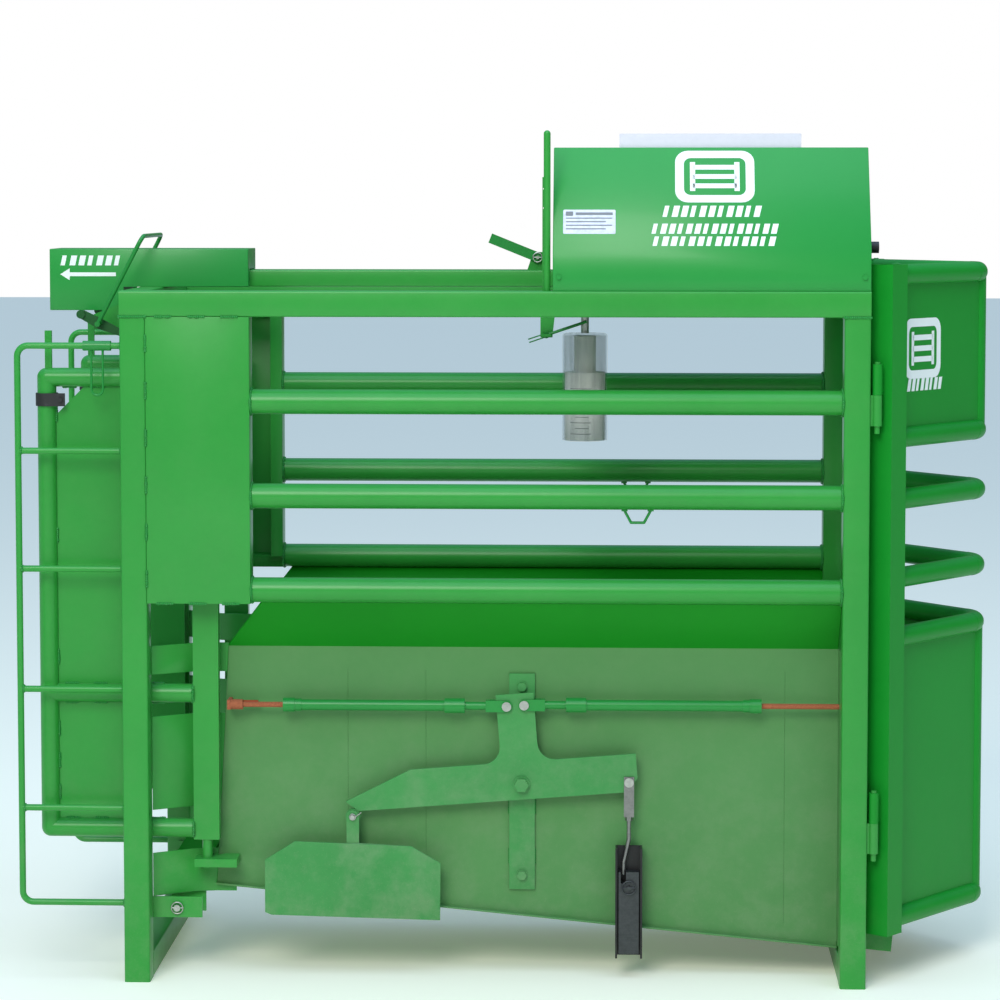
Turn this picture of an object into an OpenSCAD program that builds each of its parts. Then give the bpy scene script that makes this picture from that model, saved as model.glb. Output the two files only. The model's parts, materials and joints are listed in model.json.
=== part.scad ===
// Stand-up squeeze chute for cattle: a tube frame, a head gate of two leaves, a sloped floor between
// folded lower sides, a balance linkage on the near side, a V-shaped rear gate and a covered winch.
// Millimetres. X runs along the chute to the rear gate, the worked side faces -Y, Z is up from the ground.

/* [Frame] */
// Length of the side frames over the posts
frame_l = 2184; // [1900:1:2600]
// Width over the side frames
frame_w = 940; // [880:1:1120]
// Height of the side frames
frame_h = 2045; // [1900:1:2300]
// Side of the square posts and top rails
tube = 76; // [64:1:84]
// Wall of the square tubes
tube_wall = 5; // [3:0.5:8]
// Outer diameter of the round side rails
rail_d = 73; // [54:1:76]
// Height of the upper side rail's centre
rail_top_z = 1720; // [1660:1:1780]
// Height of the lower side rail's centre
rail_low_z = 1166; // [1100:1:1200]
// Thickness of sheet panels
sheet_t = 5; // [3:0.5:6]

/* [Sides and floor] */
// Length of the sheet panel behind the head post
panel_l = 304; // [240:1:340]
// Half width between the lower side skirts
alley_half = 308; // [290:1:330]
// Height where the apron folds down into the skirt
fold_z = 982; // [940:1:1010]
// Height of the skirt's lower edge at the head
skirt_head_z = 264; // [240:1:290]
// Height of the skirt's lower edge at the tail post
skirt_tail_z = 88; // [80:1:110]
// Depth of the floor side channels
channel_h = 62; // [50:1:66]

/* [Head gate] */
// Reach of the gate leaves in front of their pivots
leaf_reach = 468; // [430:1:490]
// Outer diameter of the leaf tubes
leaf_tube_d = 56; // [48:1:58]
// Diameter of the leaf pivot pins
leaf_pin_d = 30; // [24:1:32]
// Reach of the guard ladders in front of the frame
guard_reach = 315; // [270:1:340]
// Bar diameter of the guard ladders
guard_bar_d = 19; // [14:1:24]

/* [Winch cabinet] */
// Length of the cabinet
cabinet_l = 920; // [800:1:960]
// Height of the cabinet over the side frames
cabinet_h = 417; // [360:1:440]
// Height of the cabinet's upright front
cabinet_front_h = 120; // [110:1:160]
// Depth of the cabinet
cabinet_depth = 700; // [660:1:740]

/* [Balance linkage] */
// Height of the bell crank's pivot
crank_z = 580; // [560:1:600]
// Turn of the bell crank at rest
crank_rest = 4.5; // [0:0.5:6]
// Outer diameter of the strut tubes
strut_d = 32; // [26:1:34]

/* [Rear gate] */
// Reach of the rear gate behind the frame
gate_reach = 388; // [360:1:420]
// Height of the rear gate's lower edge
gate_low_z = 160; // [140:1:200]
// Height of the rear gate's upper edge
gate_top_z = 2122; // [2090:1:2150]
// Outer diameter of the bent V loops
loop_d = 60; // [48:1:64]

/* [Hidden] */
$fn = 48;
skin = 0.5; // gap between faces that only pass each other
fit = 0.05; // radial clearance of a pin in its bore

frame_half = frame_w / 2;
inner_y = frame_half - tube;
rail_y = frame_half - tube / 2;
rail_mid_z = (rail_top_z + rail_low_z) / 2;
top_z = frame_h - tube;
overall_l = guard_reach + frame_l + gate_reach;
head_x = guard_reach - overall_l / 2;
tail_x = head_x + frame_l;
head_in_x = head_x + tube;
tail_in_x = tail_x - tube;
mid_x = (head_x + tail_x) / 2;

// Head-end panel
panel_x = head_in_x + panel_l;
stub_w = 38; // stub post behind the panel's rear edge
strip_h = 38; // strip under the panel
strip_depth = 40;
panel_low_z = rail_low_z - strip_h;

// Lower sides and floor
skirt_out_y = alley_half + sheet_t;
skirt_head_x = head_in_x + 180;
skirt_top_x = skirt_head_x + 39;
apron_x = panel_x + 29;
apron_top_z = rail_low_z - rail_d / 2;
lip_w = 20; // outward lip along the skirt's lower edge
floor_slope = (skirt_head_z - skirt_tail_z) / (tail_in_x - skirt_head_x);
floor_angle = atan(floor_slope);
floor_end_x = tail_x + 87;
channel_w = 45;
channel_wall = 5;
deck_t = 4;
cleat_n = 11; // cleats across the deck
cleat_h = 12;

// Lugs and tongues that carry the floor's front end
bracket_hole = [head_in_x + 72, 208];
bracket_pin_d = 20;
bracket_low_z = 178;
bracket_end_x = head_in_x + 146;
bracket_t = 8;

// Head gate
leaf_y = 364;
leaf_x = head_in_x + 159;
leaf_front_x = leaf_x - leaf_reach;
leaf_low_z = 442;
leaf_mid_z = 847;
leaf_top_z = 1786;
leaf_sheet_t = 4;
back_bar_w = 76;
back_bar_d = 36;
bearing_t = 24; // thickness of the pivot lugs
bearing_low_z = 330;
bearing_top_z = top_z + 10;
leaf_pin_low_z = bearing_low_z - 6;
leaf_pin_top_z = bearing_top_z + bearing_t + 6;
guard_x = head_x - guard_reach;
guard_low_z = 232;
guard_top_z = 1883;
guard_bend_r = 32;
guard_y = frame_half - 30;
guard_rungs = [515, 869, 1226, 1574];

// Wing strips close the gap between the skirt and the head post
wing_bend = [leaf_x - 45, 326];
wing_bands = [[241, 371], [500, 780], [905, 991]];

// Release mechanism over the head gate
beam_w = 102;
beam_h = 51;
cover_x = head_x - 272;
cover_l = 605;
cover_w = 190;
cover_low_z = 1974;
cover_top_z = 2160;
cover_wall = 3;
cover_short_l = 225; // front stretch that hangs in front of the frame
bail_pivot = [head_x - 110, 1936];
bail_d = 13;
bail_half = 190;
bail_len = 298;
bail_lean = 27.6;
bail_bend_r = 26;
arm_t = 8;

// Winch cabinet
cab_x = tail_x - cabinet_l;
cab_y = -frame_half + 8;
cab_t = 3;
slope_run = 150;

// Balance linkage, in planes in front of the near skirt
crank_x = 43;
crank_y = -skirt_out_y - 40;
crank_t = 10;
arm_stem = 236; // pivot to the stem pins
stem_pin_dx = 26;
link_pin_d = 14;

// Rear gate
hinge_x = tail_x + 20;
hinge_y = frame_half - 15;
hinge_pin_d = 16;
hinge_barrel_d = 28;
hinge_web_x = (hinge_pin_d + hinge_barrel_d) / 4; // inside the barrel's wall
barrel_l = 90;
hinge_zs = [491, 1745];
gate_nose_x = tail_x + gate_reach;
winch_x = cab_x + 250;
drum_r = 45;
drum_flange_r = 78;
drum_l = 110;
drum_pin_d = 25;
drum_z = frame_h + 110;
hanger_x = cab_x + 90;
hanger_y = -120;
canister_d = 136;
canister_h = 322;
canister_top_z = 1908;
canister_wall = 4;
sleeve_h = 205;
hanger_d = 24;

paint = [0.16, 0.58, 0.24];
paint_dark = [0.08, 0.36, 0.14];
zinc = [0.74, 0.75, 0.77];
steel = [0.42, 0.43, 0.44];
rust = [0.68, 0.40, 0.28];
rubber = [0.10, 0.10, 0.10];
aluminium = [0.84, 0.83, 0.89];

// Box between two corners.
module block(a, b) {
    translate(a) cube(b - a);
}

// The same thing on the near and on the far side.
module both_sides() {
    children();
    mirror([0, 1, 0]) children();
}

module far_side() {
    mirror([0, 1, 0]) children();
}

// Square tube along +Z, open at both ends.
module square_tube(size, wall, length) {
    hole = size - 2 * wall;
    difference() {
        translate([-size / 2, -size / 2, 0]) cube([size, size, length]);
        translate([-hole / 2, -hole / 2, -1]) cube([hole, hole, length + 2]);
    }
}

// Round tube along +Z, open at both ends.
module round_tube(d, wall, length) {
    difference() {
        cylinder(d = d, h = length);
        translate([0, 0, -1]) cylinder(d = d - 2 * wall, h = length + 2);
    }
}

module along_x() {
    rotate([0, 90, 0]) children();
}

// Turns +Z to +Y.
module along_y() {
    rotate([-90, 0, 0]) children();
}

// Outline in X and Z, drawn out from y to y + depth.
module side_plate(points, y, depth) {
    translate([0, y + depth, 0]) rotate([90, 0, 0]) linear_extrude(depth) polygon(points);
}

// Outline in Y and Z, drawn out from x over a length.
module run_along_x(points, x, length) {
    translate([x, 0, 0]) rotate([90, 0, 90]) linear_extrude(length) polygon(points);
}

// Round bar between two points.
module bar(a, b, d) {
    way = b - a;
    length = norm(way);
    translate(a) rotate([0, acos(way.z / length), atan2(way.y, way.x)]) cylinder(d = d, h = length);
}

// Round bar through a list of points with ball corners, which may stand out by swell.
module bent_bar(points, d, swell = 0) {
    for (i = [1 : len(points) - 1]) bar(points[i - 1], points[i], d);
    for (i = [1 : 1 : len(points) - 2]) translate(points[i]) sphere(d = d + swell);
}

// Hex-headed bolt along -Z: washer and head stand on z = 0 upward.
module bolt_head(d) {
    cylinder(d = 2.1 * d, h = 0.2 * d);
    translate([0, 0, 0.2 * d]) cylinder(d = 1.8 * d, h = 0.65 * d, $fn = 6);
}

// --- Frame ---
// Posts with a foot plate; the far tail post has the hole that the gate's bolt goes into.
module posts() {
    hole = tube - 2 * tube_wall;
    color(paint) difference() {
        both_sides() for (x = [head_x + tube / 2, tail_x - tube / 2]) translate([x, -rail_y, 0]) {
            difference() {
                translate([-tube / 2, -tube / 2, 0]) cube([tube, tube, top_z]);
                translate([-hole / 2, -hole / 2, tube_wall]) cube([hole, hole, top_z]);
            }
        }
        translate([tail_x - tube_wall - 1, latch_bolt.y, latch_bolt.z]) along_x()
            cylinder(d = latch_bolt_d + 4, h = tube_wall + 2);
    }
}

// Top rails with a cap plate in each end.
module top_rails() {
    cap = tube - 2 * tube_wall;
    color(paint) both_sides() {
        translate([head_x, -rail_y, top_z + tube / 2]) along_x() square_tube(tube, tube_wall, frame_l);
        for (x = [head_x, tail_x - tube_wall]) {
            translate([x, -rail_y - cap / 2, top_z + tube_wall]) cube([tube_wall, cap, cap]);
        }
    }
}

module side_rails() {
    color(paint) both_sides() for (z = [rail_low_z, rail_mid_z, rail_top_z]) {
        translate([panel_x, -rail_y, z]) along_x() round_tube(rail_d, tube_wall, tail_in_x - panel_x);
    }
}

// Cross tubes over the head, under the cabinet's front edge and over the tail, and one at each foot.
module cross_tubes() {
    color(paint) {
        for (x = [head_x + tube / 2, cab_x + tube / 2, tail_x - tube / 2]) {
            translate([x, -inner_y, top_z + tube / 2]) along_y() square_tube(tube, tube_wall, 2 * inner_y);
        }
        for (x = [head_x + tube / 2, tail_x - tube / 2]) {
            translate([x, -inner_y, tube / 2]) along_y() square_tube(tube, tube_wall, 2 * inner_y);
        }
    }
}

// Sheet beside the head post, the strip under it and the stub post behind its rear edge.
module head_panels() {
    depth = tube - sheet_t;
    color(paint) both_sides() {
        block([head_in_x, -frame_half, panel_low_z], [panel_x, sheet_t - frame_half, top_z]);
        block([head_in_x, sheet_t - frame_half, panel_low_z],
              [panel_x, sheet_t + strip_depth - frame_half, rail_low_z]);
        difference() {
            block([panel_x - stub_w, -inner_y - depth, rail_low_z], [panel_x, -inner_y, top_z]);
            block([panel_x - stub_w + tube_wall, -inner_y - depth + tube_wall, rail_low_z + tube_wall],
                  [panel_x - tube_wall, -inner_y - tube_wall, top_z + 1]);
        }
    }
}

// --- Lower sides and floor ---
// Height of the skirt's lower edge at x.
function edge_z(x) = skirt_head_z - floor_slope * (x - skirt_head_x);

// Apron from the low rail inward and down, then the upright skirt with an outward lip.
module lower_side() {
    apron = [
        [-rail_y, apron_top_z + rail_d / 6], [-rail_y - 1.4 * sheet_t, apron_top_z + rail_d / 6],
        [-rail_y - 1.4 * sheet_t, apron_top_z], [-skirt_out_y, fold_z], [-alley_half, fold_z],
        [-rail_y, apron_top_z]
    ];
    difference() {
        run_along_x(apron, skirt_top_x, tail_in_x - skirt_top_x);
        translate([skirt_top_x - 1, -rail_y, rail_low_z]) along_x() cylinder(d = rail_d, h = frame_l);
        // slanted front edge
        linear_extrude(frame_h) polygon([
            [skirt_top_x, -skirt_out_y], [apron_x, -rail_y - sheet_t],
            [apron_x, -frame_half], [skirt_top_x - 1, -frame_half], [skirt_top_x - 1, -skirt_out_y]
        ]);
    }
    side_plate([[skirt_top_x, fold_z], [skirt_head_x, skirt_head_z],
                [tail_in_x, skirt_tail_z], [tail_in_x, fold_z]], -skirt_out_y, sheet_t);
    side_plate([[skirt_head_x, skirt_head_z], [tail_in_x, skirt_tail_z],
                [tail_in_x, skirt_tail_z + sheet_t], [skirt_head_x, skirt_head_z + sheet_t]],
               -skirt_out_y - lip_w, lip_w);
}

module lower_sides() {
    color(paint) both_sides() {
        lower_side();
        block([tail_in_x, -inner_y, edge_z(tail_in_x) + lip_w], [tail_in_x + sheet_t, -alley_half, fold_z]);
    }
}

// Places things along the sloped floor: x from its front edge, z from the skirt's lower edge.
module on_floor() {
    translate([floor_front_x, 0, edge_z(floor_front_x)]) rotate([0, floor_angle, 0]) children();
}

floor_front_x = bracket_hole.x - 30;
floor_l = (floor_end_x - floor_front_x) / cos(floor_angle);

module floor_channels() {
    color(paint) both_sides() on_floor() difference() {
        block([0, -alley_half, 0], [floor_l, channel_w - alley_half, channel_h]);
        block([-1, channel_wall - alley_half, channel_wall],
              [floor_l + 1, channel_w + 1 - alley_half, channel_h - channel_wall]);
    }
}

module floor_deck() {
    cleat_pitch = floor_l / cleat_n;
    color(paint_dark) on_floor() {
        block([0, -alley_half, channel_h], [floor_l, alley_half, channel_h + deck_t]);
        for (i = [0 : cleat_n - 1]) {
            translate([(i + 0.5) * cleat_pitch, -alley_half + channel_w, channel_h + deck_t])
                cube([cleat_h, 2 * (alley_half - channel_w), cleat_h]);
        }
    }
}

// On each side a lug on the head post and a tongue under the floor, pinned together.
module floor_brackets() {
    lug_top = bracket_hole.y + 32;
    color(paint) both_sides() difference() {
        union() {
            block([head_x + tube / 2, -inner_y, bracket_low_z], [bracket_end_x, bracket_t - inner_y, lug_top]);
            intersection() {
                block([floor_front_x, -alley_half, bracket_low_z],
                      [bracket_end_x, bracket_t - alley_half, frame_h]);
                on_floor() block([-tube, -alley_half, -frame_h], [floor_l, 0, 0]);
            }
        }
        translate([bracket_hole.x, -inner_y - 1, bracket_hole.y]) along_y()
            cylinder(d = bracket_pin_d, h = inner_y);
    }
}

// Pin along +Y with a pull ring near its head.
module ring_pin(d, length, ring_r) {
    wire_d = 4;
    along_y() cylinder(d = d, h = length);
    translate([0, 6, 0]) {
        along_y() rotate_extrude() translate([ring_r, 0]) circle(d = wire_d, $fn = 24);
        translate([-ring_r, 0, 0]) along_x() cylinder(d = wire_d - 1, h = 2 * ring_r);
    }
}

module bracket_pins() {
    length = inner_y - alley_half + bracket_t + 20;
    color(zinc) both_sides() translate([bracket_hole.x, -inner_y - 14, bracket_hole.y])
        ring_pin(bracket_pin_d, length, 17);
}

// Upright strips that close the side between the skirt's front edge and the head post; the gate
// leaves' tubes pass between them.
module wing_strips() {
    line = [[skirt_top_x + lip_w, skirt_out_y], [skirt_head_x, skirt_out_y], wing_bend, [head_in_x, inner_y]];
    inward = [for (i = [len(line) - 1 : -1 : 0]) [line[i].x, line[i].y - sheet_t]];
    color(paint_dark) both_sides() for (band = wing_bands) difference() {
        translate([0, 0, band[0]]) linear_extrude(band[1] - band[0]) polygon(concat(line, inward));
        side_plate([[skirt_top_x, fold_z], [skirt_head_x, skirt_head_z], [tail_in_x, skirt_tail_z],
                    [tail_in_x, frame_h], [skirt_top_x, frame_h]], 0, frame_half);
    }
}

// --- Head gate ---
// Lugs whose bores hold the leaves' pivot pins, top and bottom.
module leaf_bearings() {
    reach = leaf_y + 32;
    bore_d = leaf_pin_d + 2 * fit;
    color(paint) both_sides() difference() {
        union() {
            translate([0, 0, bearing_low_z]) linear_extrude(bearing_t) polygon([
                [leaf_x - 35, -reach], [skirt_head_x + 70, -reach], [skirt_head_x + 70, -skirt_out_y],
                [skirt_head_x + 25, -skirt_out_y], [skirt_head_x + 10, 32 - leaf_y], [leaf_x - 35, 32 - leaf_y]
            ]);
            block([leaf_x - 35, -inner_y, bearing_top_z], [leaf_x + 35, 32 - leaf_y, bearing_top_z + bearing_t]);
        }
        translate([leaf_x, -leaf_y, bearing_low_z - 1]) cylinder(d = bore_d, h = frame_h);
    }
}

// Frame of one leaf: front, top, middle and bottom tubes on a flat back bar with the pivot pins.
module leaf_frame() {
    corner = leaf_tube_d / 2;
    corners = [[leaf_x - back_bar_w / 2, leaf_top_z], [leaf_front_x, leaf_top_z],
               [leaf_front_x, leaf_low_z], [leaf_x - back_bar_w / 2, leaf_low_z]];
    translate([0, -leaf_y, 0]) {
        bent_bar([for (c = corners) [c.x, 0, c.y]], leaf_tube_d);
        bar([leaf_front_x, 0, leaf_mid_z], [leaf_x - back_bar_w / 2, 0, leaf_mid_z], leaf_tube_d);
        block([leaf_x - back_bar_w / 2, -back_bar_d / 2, leaf_low_z - corner - 4],
              [leaf_x + back_bar_w / 2, back_bar_d / 2, leaf_top_z + corner]);
        for (ends = [[leaf_pin_low_z, leaf_low_z - corner - 4], [leaf_top_z + corner, leaf_pin_top_z]]) {
            translate([leaf_x, 0, ends[0]]) cylinder(d = leaf_pin_d, h = ends[1] - ends[0]);
        }
        // striker that the release catches
        block([leaf_front_x - 4, -6, leaf_top_z + corner - 3], [leaf_front_x + 16, 6, leaf_top_z + 138]);
    }
}

// Sheets of one leaf, above and below the middle tube, the upper one with a cut corner.
module leaf_sheets() {
    x0 = leaf_front_x + leaf_tube_d / 2;
    x1 = head_in_x - 10;
    gap = leaf_tube_d / 2;
    cut = 82;
    translate([0, -leaf_y, 0]) {
        side_plate([[x0, leaf_mid_z + gap], [x1, leaf_mid_z + gap], [x1, leaf_top_z - gap],
                    [x0 + cut, leaf_top_z - gap], [x0, leaf_top_z - gap - cut]],
                   -leaf_sheet_t / 2, leaf_sheet_t);
        side_plate([[x0, leaf_low_z + gap], [x1, leaf_low_z + gap], [x1, leaf_mid_z - gap],
                    [x0, leaf_mid_z - gap]], -leaf_sheet_t / 2, leaf_sheet_t);
    }
}

// Rubber bumper strap round the leaf's front tube, closed by a bolt.
module leaf_strap() {
    strap_z = leaf_top_z - 84;
    strap_h = 38;
    strap_t = 5;
    r = leaf_tube_d / 2;
    translate([leaf_front_x, -leaf_y, strap_z]) difference() {
        union() {
            cylinder(r = r + strap_t, h = strap_h);
            translate([0, -r - strap_t, 0]) cube([r + 30, 2 * strap_t, strap_h]);
            translate([r + 18, -r - strap_t, strap_h / 2]) rotate([90, 0, 0]) bolt_head(8);
        }
        translate([0, 0, -1]) cylinder(r = r, h = strap_h + 2);
    }
}

module gate_leaf_near() {
    color(paint) leaf_frame();
}

module gate_leaf_far() {
    color(paint) far_side() leaf_frame();
}

module leaf_sheet_near() {
    color(paint) leaf_sheets();
}

module leaf_sheet_far() {
    color(paint) far_side() leaf_sheets();
}

module leaf_strap_near() {
    color(rubber) leaf_strap();
}

module leaf_strap_far() {
    color(rubber) far_side() leaf_strap();
}

// Ladder of round bar in front of each head post.
module guard_ladders() {
    r = guard_bar_d / 2;
    x0 = guard_x + r;
    color(paint) both_sides() translate([0, -guard_y, 0]) {
        bar([x0, 0, guard_low_z + guard_bend_r], [x0, 0, guard_top_z - guard_bend_r], guard_bar_d);
        for (end = [[guard_low_z, 180], [guard_top_z, 90]]) {
            turn = end[1];
            inside = turn == 90 ? -1 : 1;
            translate([x0 + guard_bend_r, 0, end[0] + inside * guard_bend_r]) rotate([90, 0, 0])
                rotate_extrude(angle = 90, start = turn) translate([guard_bend_r, 0]) circle(d = guard_bar_d);
            bar([x0 + guard_bend_r, 0, end[0]], [head_x, 0, end[0]], guard_bar_d);
        }
        for (z = guard_rungs) bar([x0, 0, z], [head_x, 0, z], guard_bar_d);
    }
}

// Sleeve that turns on the near guard's top bar, with a long wire loop hanging from it.
hook_x = head_x - 70;
hook_l = 82;
hook_d = 29;
module wire_hook() {
    wire_d = 7;
    drop = 145;
    half = 17;
    color(paint) translate([hook_x, -guard_y, guard_top_z]) {
        translate([-hook_l / 2, 0, 0]) along_x() difference() {
            cylinder(d = hook_d, h = hook_l);
            translate([0, 0, -1]) cylinder(d = guard_bar_d + 2 * fit, h = hook_l + 2);
        }
        for (side = [-1, 1]) {
            bar([side * half, 0, -hook_d / 2 + 1], [side * half, 0, half - drop], wire_d);
        }
        translate([0, 0, half - drop]) rotate([90, 0, 0])
            rotate_extrude(angle = 180, start = 180) translate([half, 0]) circle(d = wire_d, $fn = 24);
    }
}

// Welded lugs with a wire ring under the middle rails, for the belly belt.
ring_x = mid_x + 420;
module rail_rings() {
    half = 38;
    wire_d = 8;
    lug_z = rail_mid_z - rail_d / 2;
    color(paint) both_sides() translate([ring_x, -rail_y, lug_z]) {
        for (side = [-1, 1]) {
            difference() {
                translate([side * half - 9, -9, -4]) cube([18, 18, 10]);
                translate([side * half - 10, 0, rail_d / 2]) along_x() cylinder(d = rail_d, h = 20);
            }
        }
        bent_bar([[-half, 0, -3], [-half * 0.5, 0, -38], [half * 0.5, 0, -38], [half, 0, -3]], wire_d);
    }
}

// --- Release over the head gate ---
// Flat tube along the top, with the clutch lever's bracket on it.
module top_beam() {
    color(paint_dark) difference() {
        block([head_x + 10, -beam_w / 2, frame_h], [cab_x, beam_w / 2, frame_h + beam_h]);
        block([head_x + 9, tube_wall - beam_w / 2, frame_h + tube_wall],
              [cab_x + 1, beam_w / 2 - tube_wall, frame_h + beam_h - tube_wall]);
    }
    color(paint) difference() {
        side_plate([[clutch_at.x - 32, frame_h + beam_h], [clutch_at.x + 28, frame_h + beam_h],
                    [clutch_at.x + 14, clutch_at.y + 16], [clutch_at.x - 14, clutch_at.y + 16]], -15, 8);
        translate([clutch_at.x, -40, clutch_at.y]) along_y() cylinder(d = clutch_pin_d, h = 60);
    }
}

// Open-bottomed cover; its front stretch hangs down in front of the frame.
module release_cover() {
    x1 = cover_x + cover_l;
    step_x = cover_x + cover_short_l;
    r = 28;
    t = cover_wall;
    notch_gap = 2;
    color(paint) difference() {
        union() {
            side_plate([[cover_x, cover_low_z], [step_x - r, cover_low_z], [step_x, cover_low_z + r],
                        [step_x, frame_h], [x1, frame_h], [x1, cover_top_z], [cover_x, cover_top_z]],
                       -cover_w / 2, cover_w);
            translate([step_x - r, -cover_w / 2, cover_low_z + r]) along_y() cylinder(r = r, h = cover_w);
        }
        side_plate([[cover_x + t, 0], [step_x - t, 0], [step_x - t, frame_h - 1], [x1 - t, frame_h - 1],
                    [x1 - t, cover_top_z - t], [cover_x + t, cover_top_z - t]],
                   t - cover_w / 2, cover_w - 2 * t);
        // notch over the beam
        block([x1 - t - 1, -beam_w / 2 - notch_gap, frame_h - 1],
              [x1 + 1, beam_w / 2 + notch_gap, frame_h + beam_h + notch_gap]);
    }
}

shaft_d = 16;
module release_brackets() {
    gap = cover_w / 2 + 5;
    color(paint) both_sides() difference() {
        side_plate([[bail_pivot.x - 26, bail_pivot.y - 20], [head_x, bail_pivot.y - 20],
                    [head_x, frame_h - 30], [bail_pivot.x - 26, bail_pivot.y + 26]], gap, arm_t);
        translate([bail_pivot.x, gap - 1, bail_pivot.y]) along_y()
            cylinder(d = shaft_d + 2 * fit, h = arm_t + 2);
    }
}

// U-shaped hand lever on its cross shaft.
module release_bail() {
    straight = bail_len - bail_bend_r;
    color(paint) translate([bail_pivot.x, 0, bail_pivot.y]) {
        translate([0, -bail_half - 12, 0]) along_y() cylinder(d = shaft_d, h = 2 * bail_half + 24);
        rotate([0, bail_lean, 0]) {
            both_sides() {
                translate([0, -bail_half, shaft_d / 2 - 2])
                    cylinder(d = bail_d, h = straight - shaft_d / 2 + 2);
                translate([0, bail_bend_r - bail_half, straight]) rotate([0, 90, 0]) rotate([0, 0, 180])
                    rotate_extrude(angle = 90, start = 0) translate([bail_bend_r, 0]) circle(d = bail_d);
            }
            translate([0, bail_bend_r - bail_half, bail_len]) along_y()
                cylinder(d = bail_d, h = 2 * (bail_half - bail_bend_r));
        }
    }
}

// Rocker plates pressed on the lever's shaft, each with a boss at its front end.
module latch_rocker() {
    front = [-56, 28];
    rear = [73, -33];
    inside = 152;
    color(paint) both_sides() translate([bail_pivot.x, 0, bail_pivot.y]) difference() {
        union() {
            side_plate([front + [-8, 9], front + [9, 12], [6, 15], rear + [4, 10],
                        rear + [4, -10], [-6, -15], front + [-10, -8]], inside, arm_t);
            translate([front.x, inside - 6, front.y]) along_y() cylinder(d = 26, h = arm_t + 12);
        }
        translate([0, inside - 1, 0]) along_y() cylinder(d = shaft_d, h = arm_t + 2);
    }
}

pawl_at = [cover_x + 70, 2045];
module pawl_pin() {
    half = cover_w / 2 - cover_wall;
    color(steel) translate([pawl_at.x, -half, pawl_at.y]) along_y() cylinder(d = shaft_d, h = 2 * half);
}

module latch_pawl() {
    hub_d = 40;
    color(steel) translate([pawl_at.x, -8, pawl_at.y]) difference() {
        union() {
            along_y() cylinder(d = hub_d, h = 16);
            side_plate([[0, -12], [90, -12], [100, -26], [112, -26], [112, 12], [0, 12]], 0, 16);
        }
        translate([0, -1, 0]) along_y() cylinder(d = shaft_d + 2 * fit, h = 18);
    }
}

// --- Winch cabinet ---
cover_bolt_at = [for (x = [cab_x + 18, tail_x - 18]) [x, frame_h + 40]];
cover_bolt_d = 8;
module winch_cover() {
    y1 = cab_y + cabinet_depth;
    z1 = frame_h + cabinet_h;
    fold = frame_h + cabinet_front_h;
    t = cab_t;
    color(paint) difference() {
        run_along_x([[cab_y, frame_h], [cab_y, fold], [cab_y + slope_run, z1], [y1, z1], [y1, frame_h]],
                    cab_x, cabinet_l);
        run_along_x([[cab_y + t, frame_h - 1], [cab_y + t, fold - t / 2], [cab_y + slope_run + t / 2, z1 - t],
                     [y1 - t, z1 - t], [y1 - t, frame_h - 1]], cab_x + t, cabinet_l - 2 * t);
        for (p = cover_bolt_at) translate([p.x, cab_y - 1, p.y]) along_y()
            cylinder(d = cover_bolt_d, h = t + 2);
    }
}

module cover_bolts() {
    color(zinc) for (p = cover_bolt_at) translate([p.x, cab_y, p.y]) rotate([90, 0, 0]) {
        bolt_head(cover_bolt_d);
        translate([0, 0, -14]) cylinder(d = cover_bolt_d, h = 14);
        translate([0, 0, -cab_t - 7]) cylinder(d = 15, h = 7, $fn = 6);
    }
}

panel_size = [533, 360, 41];
module solar_panel() {
    rim = 12;
    color(aluminium) translate([cab_x + 192, cab_y + slope_run + 12, frame_h + cabinet_h]) difference() {
        cube(panel_size);
        translate([rim, rim, panel_size.z - 3]) cube([panel_size.x - 2 * rim, panel_size.y - 2 * rim, 4]);
    }
}

module cable_gland() {
    color(rubber) translate([tail_x, cab_y + 140, frame_h + 125]) along_x() {
        cylinder(d = 42, h = 8, $fn = 6);
        cylinder(d = 34, h = 32);
    }
}

winch_plate_y = drum_l / 2 + 7; // inner face of the winch side plates
winch_plate_t = 10;
base_t = 8;
module winch_base() {
    color(steel) {
        difference() {
            block([cab_x + 8, -170, frame_h], [tail_x - 8, 170, frame_h + base_t]);
            translate([hanger_x, hanger_y, frame_h - 1]) cylinder(d = 40, h = base_t + 2);
        }
        both_sides() difference() {
            block([winch_x - 60, winch_plate_y, frame_h + base_t],
                  [winch_x + 60, winch_plate_y + winch_plate_t, drum_z + 40]);
            translate([winch_x, 0, drum_z]) along_y() cylinder(d = drum_pin_d + 2 * fit, h = frame_half);
        }
    }
}

module winch_drum() {
    color(steel) translate([winch_x, 0, drum_z]) {
        translate([0, -winch_plate_y - winch_plate_t - 4, 0]) along_y()
            cylinder(d = drum_pin_d, h = 2 * (winch_plate_y + winch_plate_t) + 8);
        translate([0, -drum_l / 2, 0]) along_y() cylinder(r = drum_r, h = drum_l);
        for (y = [-drum_l / 2, drum_l / 2 - 6]) translate([0, y, 0]) along_y() cylinder(r = drum_flange_r, h = 6);
    }
}

gearbox_y = winch_plate_y + winch_plate_t + 5;
module winch_gearbox() {
    color(steel) block([winch_x - 60, gearbox_y, frame_h + base_t], [winch_x + 60, gearbox_y + 76, drum_z + 44]);
}

module winch_motor() {
    color(rubber) translate([winch_x + 60, gearbox_y + 40, drum_z]) along_x() {
        cylinder(d = 96, h = 190);
        translate([0, 0, 190]) cylinder(d = 60, h = 12);
    }
}

module winch_battery() {
    x = cab_x + 590;
    z = frame_h + base_t;
    color(rubber) {
        block([x, -150, z], [x + 260, 20, z + 190]);
        for (px = [x + 40, x + 220]) translate([px, -110, z + 190]) cylinder(d = 18, h = 18);
    }
}

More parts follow.
